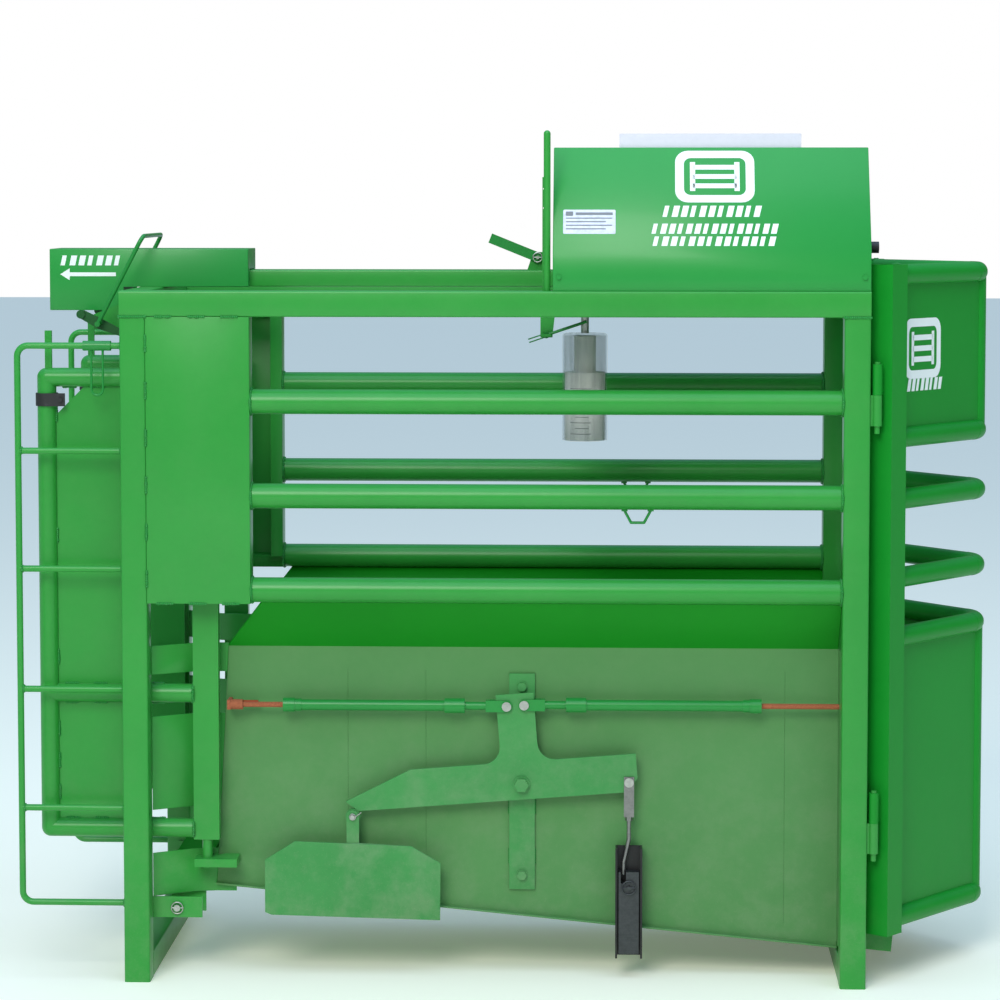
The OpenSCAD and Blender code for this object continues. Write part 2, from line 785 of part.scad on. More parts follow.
// Upright bar and notched flat beside the cabinet.
module lever_mast() {
    d = 20;
    top = frame_h + cabinet_h + 38;
    color(paint) translate([cab_x - 17, 34 - frame_half, 0]) difference() {
        union() {
            translate([0, 0, frame_h]) cylinder(d = d, h = top - frame_h);
            translate([0, 0, top]) sphere(d = d);
            block([-14, 8, frame_h], [4, 14, frame_h + 330]);
        }
        for (z = [240, 296]) translate([-10, 7, frame_h + z]) along_y() cylinder(d = 5, h = 9);
    }
}

// Flat hand lever for the winch's clutch, on a bracket that stands on the beam.
clutch_at = [cab_x - 55, frame_h + beam_h + 38];
clutch_pin_d = 10;
module winch_lever() {
    color(paint) translate([clutch_at.x, -24, clutch_at.y]) rotate([0, 22, 0]) difference() {
        union() {
            block([-156, 0, -15], [0, 8, 15]);
            along_y() cylinder(d = 30, h = 8);
        }
        translate([0, -1, 0]) along_y() cylinder(d = clutch_pin_d + 2 * fit, h = 10);
    }
}

module lynch_pin() {
    color(zinc) translate([clutch_at.x, -36, clutch_at.y]) ring_pin(clutch_pin_d, 36, 14);
}

// --- Canister that hangs under the cabinet ---
eye_z = top_z + 38;
eye_pin_d = 14;
// Pin with a collar that the canister's eye hangs on.
module hanger_pin() {
    color(steel) {
        translate([cab_x + tube, hanger_y, eye_z]) along_x() cylinder(d = eye_pin_d, h = 26);
        translate([cab_x + tube + 22, hanger_y, eye_z]) along_x() cylinder(d = 24, h = 4);
    }
}

module clear_canister() {
    color([0.62, 0.68, 0.68]) translate([hanger_x, hanger_y, canister_top_z]) difference() {
        union() {
            translate([0, 0, -canister_h]) cylinder(d = canister_d, h = canister_h - 8);
            translate([0, 0, -8]) cylinder(d = canister_d - 16, h = 8);
            translate([0, 0, -8]) rotate_extrude() translate([canister_d / 2 - 8, 0]) circle(r = 8);
        }
        translate([0, 0, -canister_h - 1]) cylinder(d = canister_d - 2 * canister_wall, h = canister_h - 7);
    }
}

module canister_rod() {
    width = 16;
    color(steel) translate([hanger_x, hanger_y, 0]) {
        translate([0, 0, canister_top_z]) cylinder(d = hanger_d, h = eye_z - 14 - canister_top_z);
        difference() {
            translate([-width / 2, 0, eye_z]) along_x() cylinder(d = 34, h = width);
            translate([-width, 0, eye_z]) along_x() cylinder(d = eye_pin_d + 2 * fit, h = 2 * width);
        }
    }
}

// Pale sleeve that stands in the lower part of the canister, with a core up to its top.
module canister_liner() {
    color([0.93, 0.92, 0.90]) translate([hanger_x, hanger_y, canister_top_z - canister_h]) {
        cylinder(d = canister_d - 2 * canister_wall - 8, h = sleeve_h);
        translate([0, 0, sleeve_h]) cylinder(d = 66, h = canister_h - sleeve_h - 8);
    }
}

trip_at = [cab_x - 26, top_z - 66];
trip_y = hanger_y - 20;
// Hanger pin, fork bracket and its wing bolt.
module hanger_brackets() {
    hanger_pin();
    color(paint) difference() {
        side_plate([[cab_x, top_z + 40], [cab_x, top_z], [trip_at.x + 18, trip_at.y - 8],
                    [trip_at.x - 18, trip_at.y - 8], [trip_at.x - 18, top_z + 10]], hanger_y - 8, 12);
        translate([trip_at.x, hanger_y - 20, trip_at.y]) along_y() cylinder(d = 10 + 2 * fit, h = 40);
    }
    color([0.78, 0.62, 0.30]) translate([trip_at.x, 0, trip_at.y]) {
        translate([0, trip_y - 14, 0]) along_y() cylinder(d = 10, h = 40);
        block([-14, trip_y - 20, -4], [14, trip_y - 14, 4]);
    }
}

// Two-pronged steel rod that turns on the wing bolt and leans on the canister's rod.
module trip_fork() {
    lean = 18.5;
    color(steel) translate([trip_at.x, trip_y, trip_at.y]) rotate([0, -lean, 0]) {
        difference() {
            translate([0, -6, 0]) along_y() cylinder(d = 20, h = 12);
            translate([0, -7, 0]) along_y() cylinder(d = 10 + 2 * fit, h = 14);
        }
        bar([8, 0, 0], [128, 0, 0], 9);
        for (z = [-5, 5]) bar([-56, 0, z], [-6, 0, z], 4);
    }
}

// --- Balance linkage on the near side ---
crank_mid_y = crank_y - crank_t / 2;
pivot_d = 24;
strap_w = 77;
strap_t = 10;
strap_ends = [crank_z - 325, crank_z + 325];
strap_bolt_z = [crank_z - 281, crank_z + 286];
bolt_d = 16;

module crank_strap() {
    color(paint) difference() {
        union() {
            block([crank_x - strap_w / 2, -skirt_out_y - strap_t, strap_ends[0]],
                  [crank_x + strap_w / 2, -skirt_out_y, strap_ends[1]]);
            translate([crank_x, -skirt_out_y - strap_t, crank_z]) rotate([90, 0, 0])
                cylinder(d = 52, h = -crank_y - skirt_out_y - strap_t - skin);
        }
        translate([crank_x, -frame_half, crank_z]) along_y() cylinder(d = pivot_d, h = frame_half);
    }
}

// Draws in the crank's own axes: origin at its pivot, turned to the rest pose.
module on_crank() {
    translate([crank_x, 0, crank_z]) rotate([0, -crank_rest, 0]) children();
}

// Turned place of a point given in the crank's own axes.
function crank_point(p) = [
    crank_x + p.x * cos(crank_rest) - p.y * sin(crank_rest),
    crank_z + p.x * sin(crank_rest) + p.y * cos(crank_rest)
];

pedal_pin = [-508, -60];
rod_pin = [318, -16];
stem_half = 56;
stem_top = arm_stem + 35;

// T-shaped plate with two long arms and a stem, filleted where they meet.
module bell_crank() {
    arm_top = 67;
    arm_low = -46;
    r = 52;
    color(paint) on_crank() difference() {
        translate([0, crank_y, 0]) rotate([90, 0, 0]) linear_extrude(crank_t) {
            polygon([
                [-490, arm_low], [312, arm_low], [344, -6], [344, arm_top], [-326, arm_top], [-526, -15]
            ]);
            translate(pedal_pin) circle(r = 22);
            translate([-stem_half, 0]) square([2 * stem_half, stem_top]);
            for (side = [-1, 1]) difference() {
                translate([side * (stem_half + r / 2), arm_top + r / 2]) square(r + 0.2, center = true);
                translate([side * (stem_half + r), arm_top + r]) circle(r = r);
            }
        }
        rotate([90, 0, 0]) cylinder(d = pivot_d + 2 * fit, h = frame_half);
        for (p = [[-stem_pin_dx, arm_stem], [stem_pin_dx, arm_stem], pedal_pin, rod_pin]) {
            translate([p.x, 0, p.y]) rotate([90, 0, 0]) cylinder(d = link_pin_d, h = frame_half);
        }
    }
}

fork_in = crank_t / 2 + 1.5; // half gap of the forks that straddle the crank plate
fork_out = fork_in + 6;

module crank_bolts() {
    color(zinc) {
        translate([crank_x, -skirt_out_y, crank_z]) rotate([90, 0, 0])
            cylinder(d = pivot_d, h = -crank_y - skirt_out_y + crank_t + 2);
        translate([crank_x, crank_y - crank_t - 2, crank_z]) rotate([90, 0, 0]) bolt_head(pivot_d);
        for (z = strap_bolt_z) translate([crank_x, -skirt_out_y - strap_t, z]) rotate([90, 0, 0])
            bolt_head(bolt_d);
    }
}

stem_left = crank_point([-stem_pin_dx, arm_stem]);
stem_right = crank_point([stem_pin_dx, arm_stem]);

// Rods that the strut tubes slide on, and the anchor of the left one on the skirt.
rod_d = 16;
anchor_left_x = skirt_top_x + 12;
module strut_rods() {
    rod_l = 520;
    right_start = crank_x + 240;
    color(rust) {
        translate([anchor_left_x, crank_mid_y, stem_left.y]) along_x() cylinder(d = rod_d, h = rod_l);
        translate([right_start, crank_mid_y, stem_right.y]) along_x()
            cylinder(d = rod_d, h = tail_in_x - right_start);
    }
    color(paint) translate([anchor_left_x, crank_mid_y, stem_left.y]) {
        block([-10, -14, -14], [0, -skirt_out_y - crank_mid_y, 14]);
        along_x() difference() {
            cylinder(d = 30, h = 36);
            translate([0, 0, -1]) cylinder(d = rod_d, h = 38);
        }
    }
}

// One strut from its gland at x = 0 to its fork eye at x = length, drawn along +X from the gland.
module strut(length) {
    bore_d = 22;
    eye_x = length;
    neck_x = eye_x - 62;
    bore_l = neck_x - 60;
    difference() {
        union() {
            along_x() cylinder(d = 42, h = 34);
            translate([34, 0, 0]) along_x() cylinder(d = strut_d + 5, h = 20);
            along_x() cylinder(d = strut_d, h = neck_x - 70);
            translate([neck_x - 122, 0, 0]) along_x() cylinder(d = 44, h = 60);
            translate([neck_x - 70, 0, 0]) along_x() cylinder(d = 24, h = 70);
        }
        translate([24, 0, 0]) along_x() cylinder(d = bore_d, h = bore_l - 24);
        translate([-1, 0, 0]) along_x() cylinder(d = rod_d + 2 * fit, h = 30);
    }
    difference() {
        union() {
            translate([neck_x, -fork_out, -17]) cube([12, 2 * fork_out, 34]);
            for (y = [-fork_out, fork_in]) {
                translate([neck_x + 12, y, -17]) cube([50, fork_out - fork_in, 34]);
                translate([eye_x, y, 0]) along_y() cylinder(d = 34, h = fork_out - fork_in);
            }
        }
        translate([eye_x, -fork_out - 1, 0]) along_y()
            cylinder(d = link_pin_d + 2 * strut_play, h = 2 * fork_out + 2);
    }
}

strut_play = 6; // slack of the fork eyes, because their pins move on a slight arc
gland_left_x = crank_x - 708;
gland_right_x = crank_x + 708;
module strut_left() {
    color(paint) translate([gland_left_x, crank_mid_y, stem_left.y]) strut(stem_left.x - gland_left_x);
}

module strut_right() {
    color(paint) translate([gland_right_x, crank_mid_y, stem_right.y]) mirror([1, 0, 0])
        strut(gland_right_x - stem_right.x);
}

// Weight plate on a hanging strap under the crank's left arm.
pedal_at = crank_point(pedal_pin);
pedal_y = crank_y - crank_t - 1;
module pedal_plate() {
    drop = 96;
    plate_t = 8;
    color(paint) difference() {
        union() {
            side_plate([
                [pedal_at.x - 262, pedal_at.y - 130], [pedal_at.x - 172, pedal_at.y - 74],
                [pedal_at.x + 174, pedal_at.y - 86], [pedal_at.x + 262, pedal_at.y - 136],
                [pedal_at.x + 260, pedal_at.y - 308], [pedal_at.x - 242, pedal_at.y - 296],
                [pedal_at.x - 262, pedal_at.y - 288]
            ], pedal_y - 2 * plate_t, plate_t);
            side_plate([[pedal_at.x - 19, pedal_at.y - drop - 14], [pedal_at.x + 19, pedal_at.y - drop - 14],
                        [pedal_at.x + 19, pedal_at.y], [pedal_at.x - 19, pedal_at.y]],
                       pedal_y - plate_t, plate_t);
            translate([pedal_at.x, pedal_y - plate_t, pedal_at.y]) along_y() cylinder(d = 38, h = plate_t);
        }
        translate([pedal_at.x, pedal_y - plate_t - 1, pedal_at.y]) along_y()
            cylinder(d = link_pin_d + 2 * fit, h = plate_t + 2);
    }
}

// Pins through the crank for the forks and the hanging strap, the last with a spring clip.
module crank_pins() {
    color(zinc) on_crank() for (p = [[-stem_pin_dx, arm_stem], [stem_pin_dx, arm_stem], rod_pin]) {
        translate([p.x, crank_mid_y + fork_out + 2, p.y]) rotate([90, 0, 0])
            cylinder(d = link_pin_d, h = 2 * fork_out + 4);
        translate([p.x, crank_mid_y - fork_out - 1, p.y]) rotate([90, 0, 0]) cylinder(d = 28, h = 5);
    }
    color(zinc) translate([pedal_at.x, 0, pedal_at.y]) {
        translate([0, crank_y, 0]) rotate([90, 0, 0]) cylinder(d = link_pin_d, h = crank_t + 20);
        translate([0, crank_y + 4, 0]) rotate([90, 0, 0]) cylinder(d = 24, h = 4);
        translate([0, pedal_y - 8 - 5, 0]) rotate([90, 0, 0]) rotate_extrude() translate([9, 0])
            circle(d = 3, $fn = 16);
        bar([-3, pedal_y - 13, -8], [26, pedal_y - 13, 14], 3);
    }
}

// Latch rod: fork on the crank's right arm, threaded shank, bent rod and the tongue in its guide.
rod_at = crank_point(rod_pin);
guide_wall = 6;
guide_out = 40;
guide_y = -skirt_out_y - lip_w;
guide_depth = 52;
guide_ends = [64, 394];
tongue_ends = [76, 322];
module latch_guide() {
    color(paint) difference() {
        union() {
            block([rod_at.x - guide_out, guide_y - guide_depth, guide_ends[0]],
                  [rod_at.x + guide_out, guide_y, guide_ends[1]]);
            block([rod_at.x - guide_out, guide_y, guide_ends[1] - 60],
                  [rod_at.x + guide_out, -skirt_out_y, guide_ends[1] - 30]);
        }
        block([rod_at.x + guide_wall - guide_out, guide_y - guide_depth - 1, guide_ends[0] - 1],
              [rod_at.x + guide_out - guide_wall, guide_y - guide_wall, guide_ends[1] + 1]);
    }
}

module latch_rod() {
    d = 12;
    slot = 11; // length of the fork eye's slot
    fork_low = rod_at.y - 92;
    color(zinc) translate([0, crank_mid_y, 0]) {
        difference() {
            union() {
                for (y = [-fork_out, fork_in]) {
                    block([rod_at.x - 15, y, fork_low], [rod_at.x + 15, y + fork_out - fork_in, rod_at.y + 16]);
                }
                block([rod_at.x - 15, -fork_out, fork_low - 12], [rod_at.x + 15, fork_out, fork_low]);
            }
            for (x = [-slot / 2, slot / 2]) translate([rod_at.x + x, -fork_out - 1, rod_at.y]) along_y()
                cylinder(d = link_pin_d + 2, h = 2 * fork_out + 2);
            block([rod_at.x - slot / 2, -fork_out - 1, rod_at.y - link_pin_d / 2 - 1],
                  [rod_at.x + slot / 2, fork_out + 1, rod_at.y + link_pin_d / 2 + 1]);
        }
        translate([rod_at.x, 0, fork_low - 24]) cylinder(d = 24, h = 12, $fn = 6);
    }
    color(rust) translate([rod_at.x, crank_mid_y, fork_low - 60]) cylinder(d = d, h = 36);
    color(paint) translate([0, crank_mid_y, 0])
        bent_bar([[rod_at.x, 0, fork_low - 60], [rod_at.x, 0, fork_low - 80], [rod_at.x - 16, 0, fork_low - 150],
                  [rod_at.x - 16, 0, tongue_ends[1] - 10]], d + 1, 1);
}

module latch_tongue() {
    half = guide_out - guide_wall - 4;
    front = guide_y - guide_depth + 6;
    color(rubber) difference() {
        block([rod_at.x - half, front, tongue_ends[0]], [rod_at.x + half, guide_y - guide_wall - 1, tongue_ends[1]]);
        translate([rod_at.x, front - 1, tongue_ends[1] - 46]) along_y() cylinder(d = 12 + 2 * fit, h = 60);
        block([rod_at.x - 24, front - 1, tongue_ends[1] - 34], [rod_at.x - 8, guide_y, tongue_ends[1] + 1]);
    }
    color(zinc) translate([rod_at.x, front - 12, tongue_ends[1] - 46]) ring_pin(12, 40, 20);
}

// --- Rear gate ---
gate_post_at = [tail_x + 57, frame_half - 72];
gate_nose = [gate_nose_x - loop_d / 2, 0];
gate_bend_r = 75;
gate_bend_x = gate_nose.x - gate_bend_r;
bend_away = norm([gate_bend_x - gate_post_at.x, gate_post_at.y]);
gate_angle = atan2(gate_post_at.y, gate_bend_x - gate_post_at.x) - asin(gate_bend_r / bend_away);
gate_straight = sqrt(bend_away * bend_away - gate_bend_r * gate_bend_r);
nose_tube_d = loop_d - 6;
bend_lap = 4;
bend_swell = 1;
gate_tube_z = [gate_low_z + loop_d / 2, 1026, 1201, 1432, 1614, gate_top_z - loop_d / 2];
latch_bolt = [tail_x + 6, frame_half - 18, 1120];
latch_bolt_d = 16;
latch_bolt_l = 170;

module knuckle(z, grow) {
    translate([hinge_x, -hinge_y, z]) difference() {
        cylinder(d = hinge_barrel_d, h = barrel_l - skin);
        translate([0, 0, -1]) cylinder(d = hinge_pin_d + grow, h = barrel_l + 2);
    }
}

// Half of the gate on the near side: a turned square post and the bars that run to the nose.
module gate_half() {
    start = tube / 2 - tube_wall / 2;
    way = [cos(gate_angle), sin(gate_angle), 0];
    translate([gate_post_at.x, -gate_post_at.y, gate_low_z - 8]) rotate([0, 0, gate_angle])
        square_tube(tube, tube_wall, gate_top_z - gate_low_z + 8);
    for (z = gate_tube_z) {
        post = [gate_post_at.x, -gate_post_at.y, z];
        bar(post + start * way, post + (gate_straight + bend_lap) * way, loop_d);
    }
}

module rear_gate() {
    out = [gate_post_at.x - hinge_x, hinge_y - gate_post_at.y];
    color(paint) difference() {
        union() {
            both_sides() gate_half();
            for (span = [[gate_tube_z[0], gate_tube_z[1]], [gate_tube_z[4], gate_tube_z[5]]]) {
                translate([gate_nose.x, 0, span[0]]) cylinder(d = nose_tube_d, h = span[1] - span[0]);
            }
            for (z = gate_tube_z) translate([gate_bend_x, 0, z])
                rotate_extrude(angle = 180 - 2 * gate_angle, start = gate_angle - 90)
                    translate([gate_bend_r, 0]) circle(d = loop_d + bend_swell);
            // hinge knuckles and their plates
            for (z = hinge_zs) {
                translate([hinge_x, -hinge_y, z]) cylinder(d = hinge_barrel_d, h = barrel_l - skin);
                translate([hinge_x, -hinge_y, z]) rotate([0, 0, atan2(out.y, out.x)])
                    translate([hinge_web_x, -4, 0]) cube([32 - hinge_web_x, 8, barrel_l - skin]);
            }
            // guide of the latch bolt
            translate([tail_x + 34, latch_bolt.y, latch_bolt.z]) along_x() cylinder(d = 30, h = 62);
        }
        for (z = hinge_zs) translate([hinge_x, -hinge_y, z - 1]) cylinder(d = hinge_pin_d + 2 * fit, h = barrel_l + 2);
        translate([tail_x, latch_bolt.y, latch_bolt.z]) along_x() cylinder(d = latch_bolt_d + 2 * fit, h = 200);
    }
}

// Sheets in the lower and upper part of the gate, on the inside of its bars.
module gate_sheets() {
    start = 38;
    run = gate_straight + gate_bend_r * cos(gate_angle) - 16;
    color(paint) both_sides() translate([gate_post_at.x, -gate_post_at.y, 0]) rotate([0, 0, gate_angle]) {
        for (span = [[gate_tube_z[0], gate_tube_z[1]], [gate_tube_z[4], gate_tube_z[5]]]) {
            block([start, -2, span[0] + 29.8], [run, 2, span[1] - 29.8]);
        }
    }
}

module gate_hinges() {
    color(paint) for (z = hinge_zs) {
        knuckle(z - barrel_l, 2 * fit);
        difference() {
            block([tail_x, -hinge_y - 5, z - barrel_l], [hinge_x, 5 - hinge_y, z - skin]);
            translate([hinge_x, -hinge_y, z - barrel_l - 1]) cylinder(d = hinge_barrel_d, h = barrel_l + 2);
        }
    }
    color(steel) for (z = hinge_zs) translate([hinge_x, -hinge_y, z - barrel_l - 22])
        cylinder(d = hinge_pin_d, h = 2 * barrel_l + 28);
}

module gate_latch() {
    color(zinc) {
        translate(latch_bolt) along_x() cylinder(d = latch_bolt_d, h = latch_bolt_l);
        translate([latch_bolt.x + latch_bolt_l - 22, latch_bolt.y, latch_bolt.z]) cylinder(d = 12, h = 70);
    }
}

posts();
top_rails();
side_rails();
cross_tubes();
head_panels();
lower_sides();
floor_channels();
floor_deck();
floor_brackets();
bracket_pins();
wing_strips();
leaf_bearings();
guard_ladders();
gate_leaf_near();
leaf_sheet_near();
leaf_strap_near();
gate_leaf_far();
leaf_sheet_far();
leaf_strap_far();
wire_hook();
rail_rings();
top_beam();
release_cover();
release_brackets();
release_bail();
latch_rocker();
pawl_pin();
latch_pawl();
winch_cover();
cover_bolts();
solar_panel();
cable_gland();
winch_base();
winch_drum();
winch_gearbox();
winch_motor();
winch_battery();
lever_mast();
winch_lever();
lynch_pin();
hanger_brackets();
canister_rod();
clear_canister();
canister_liner();
trip_fork();
crank_strap();
bell_crank();
crank_pins();
crank_bolts();
strut_rods();
strut_left();
strut_right();
pedal_plate();
latch_guide();
latch_rod();
latch_tongue();
rear_gate();
gate_sheets();
gate_hinges();
gate_latch();
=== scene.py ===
"""Cattle squeeze chute: paint, welds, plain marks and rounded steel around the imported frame."""
import json
import logging
import math
from collections.abc import Iterable, Sequence
from dataclasses import dataclass
from enum import Enum

import bmesh
import bpy
from mathutils import Matrix, Vector

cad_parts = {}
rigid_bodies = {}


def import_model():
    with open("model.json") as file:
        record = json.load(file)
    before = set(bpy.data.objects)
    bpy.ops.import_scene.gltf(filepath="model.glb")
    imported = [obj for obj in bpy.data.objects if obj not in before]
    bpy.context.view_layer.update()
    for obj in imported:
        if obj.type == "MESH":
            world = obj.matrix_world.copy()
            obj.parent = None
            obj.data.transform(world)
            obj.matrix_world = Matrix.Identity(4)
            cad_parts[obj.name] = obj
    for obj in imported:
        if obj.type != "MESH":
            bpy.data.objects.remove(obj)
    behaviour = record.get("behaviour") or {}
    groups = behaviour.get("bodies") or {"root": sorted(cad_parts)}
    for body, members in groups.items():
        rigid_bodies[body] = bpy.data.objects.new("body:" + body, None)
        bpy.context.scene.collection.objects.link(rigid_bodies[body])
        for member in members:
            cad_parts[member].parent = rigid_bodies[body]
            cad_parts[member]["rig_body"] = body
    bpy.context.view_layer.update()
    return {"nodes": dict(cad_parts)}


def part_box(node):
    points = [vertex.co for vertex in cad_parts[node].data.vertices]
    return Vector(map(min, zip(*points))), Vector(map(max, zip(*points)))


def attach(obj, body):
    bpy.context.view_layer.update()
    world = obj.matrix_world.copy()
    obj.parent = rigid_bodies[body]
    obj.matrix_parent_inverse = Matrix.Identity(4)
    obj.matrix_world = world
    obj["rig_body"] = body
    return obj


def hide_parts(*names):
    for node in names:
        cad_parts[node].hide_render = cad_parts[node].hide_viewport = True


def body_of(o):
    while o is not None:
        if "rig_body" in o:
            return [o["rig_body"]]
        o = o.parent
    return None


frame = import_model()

LOG = logging.getLogger("squeeze_chute")
Colour = tuple[float, float, float]
Path = list[Vector]
Outline = Sequence[tuple[float, float]]


class Slot(Enum):
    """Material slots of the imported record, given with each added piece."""

    GREEN = "green_paint"
    RUSTY = "rusty_steel"
    ALUMINIUM = "aluminium"
    PALE = "pale_plastic"
    BLACK_PLASTIC = "black_plastic"


class Axis(Enum):
    """Direction that a tube or a metal's drawn marks run along."""

    X = 0
    Y = 1
    Z = 2


def srgb(red: int, green: int, blue: int) -> Colour:
    """Turns a display colour into the linear colour a shader wants.

    Args:
        red: Red, 0 to 255.
        green: Green, 0 to 255.
        blue: Blue, 0 to 255.

    Returns:
        The three linear values.
    """

    def linear(value: int) -> float:
        """One channel."""
        v = value / 255
        return v / 12.92 if v <= 0.04045 else ((v + 0.055) / 1.055) ** 2.4

    return linear(red), linear(green), linear(blue)


class Wiring:
    """Places and links the nodes of one tree."""

    def __init__(self, tree: bpy.types.NodeTree) -> None:
        """Keeps the tree to work on."""
        self.tree = tree

    def put(self, kind: str, inputs: dict[str | int, object] | None = None,
            **settings: object) -> bpy.types.Node:
        """Adds a node.

        Args:
            kind: The node's type name.
            inputs: Socket name or index, to a constant or to the output socket that feeds it.
            settings: The node's own properties.

        Returns:
            The new node.
        """
        node = self.tree.nodes.new(kind)
        for key, value in settings.items():
            setattr(node, key, value)
        for key, value in (inputs or {}).items():
            if isinstance(value, bpy.types.NodeSocket):
                self.tree.links.new(value, node.inputs[key])
            else:
                node.inputs[key].default_value = value
        return node

    def math(self, operation: str, a: object, b: object = 0.0, clamp: bool = False) -> bpy.types.NodeSocket:
        """One Math node.

        Args:
            operation: Its operation.
            a: First value or socket.
            b: Second value or socket.
            clamp: Keeps the result between 0 and 1.

        Returns:
            Its output socket.
        """
        return self.put("ShaderNodeMath", {0: a, 1: b}, operation=operation, use_clamp=clamp).outputs[0]

    def noise(self, where: object, scale: float, detail: float = 3.0,
              rough: float = 0.55) -> bpy.types.NodeSocket:
        """A noise texture.

        Args:
            where: Socket with the position.
            scale: Features per metre.
            detail: Octaves.
            rough: Weight of the fine octaves.

        Returns:
            The noise value, about 0.5 in the middle.
        """
        made = self.put("ShaderNodeTexNoise",
                        {"Vector": where, "Scale": scale, "Detail": detail, "Roughness": rough})
        return made.outputs[0]

    def band(self, value: object, low: object, high: object) -> bpy.types.NodeSocket:
        """Maps low to high onto 0 to 1, with soft ends.

        Args:
            value: Socket to map.
            low: Value that gives 0.
            high: Value that gives 1.

        Returns:
            The mapped socket.
        """
        made = self.put("ShaderNodeMapRange", {"Value": value, "From Min": low, "From Max": high},
                        interpolation_type="SMOOTHSTEP")
        return made.outputs[0]

    def mix(self, share: object, a: object, b: object) -> bpy.types.NodeSocket:
        """Mixes two colours.

        Args:
            share: Share of b.
            a: Colour or socket.
            b: Colour or socket.

        Returns:
            The mixed colour.
        """
        node = self.put("ShaderNodeMix", {0: share}, data_type="RGBA")
        for index, value in ((6, a), (7, b)):
            if isinstance(value, bpy.types.NodeSocket):
                self.tree.links.new(value, node.inputs[index])
            else:
                node.inputs[index].default_value = (*value, 1.0) if len(value) == 3 else value
        return node.outputs[2]


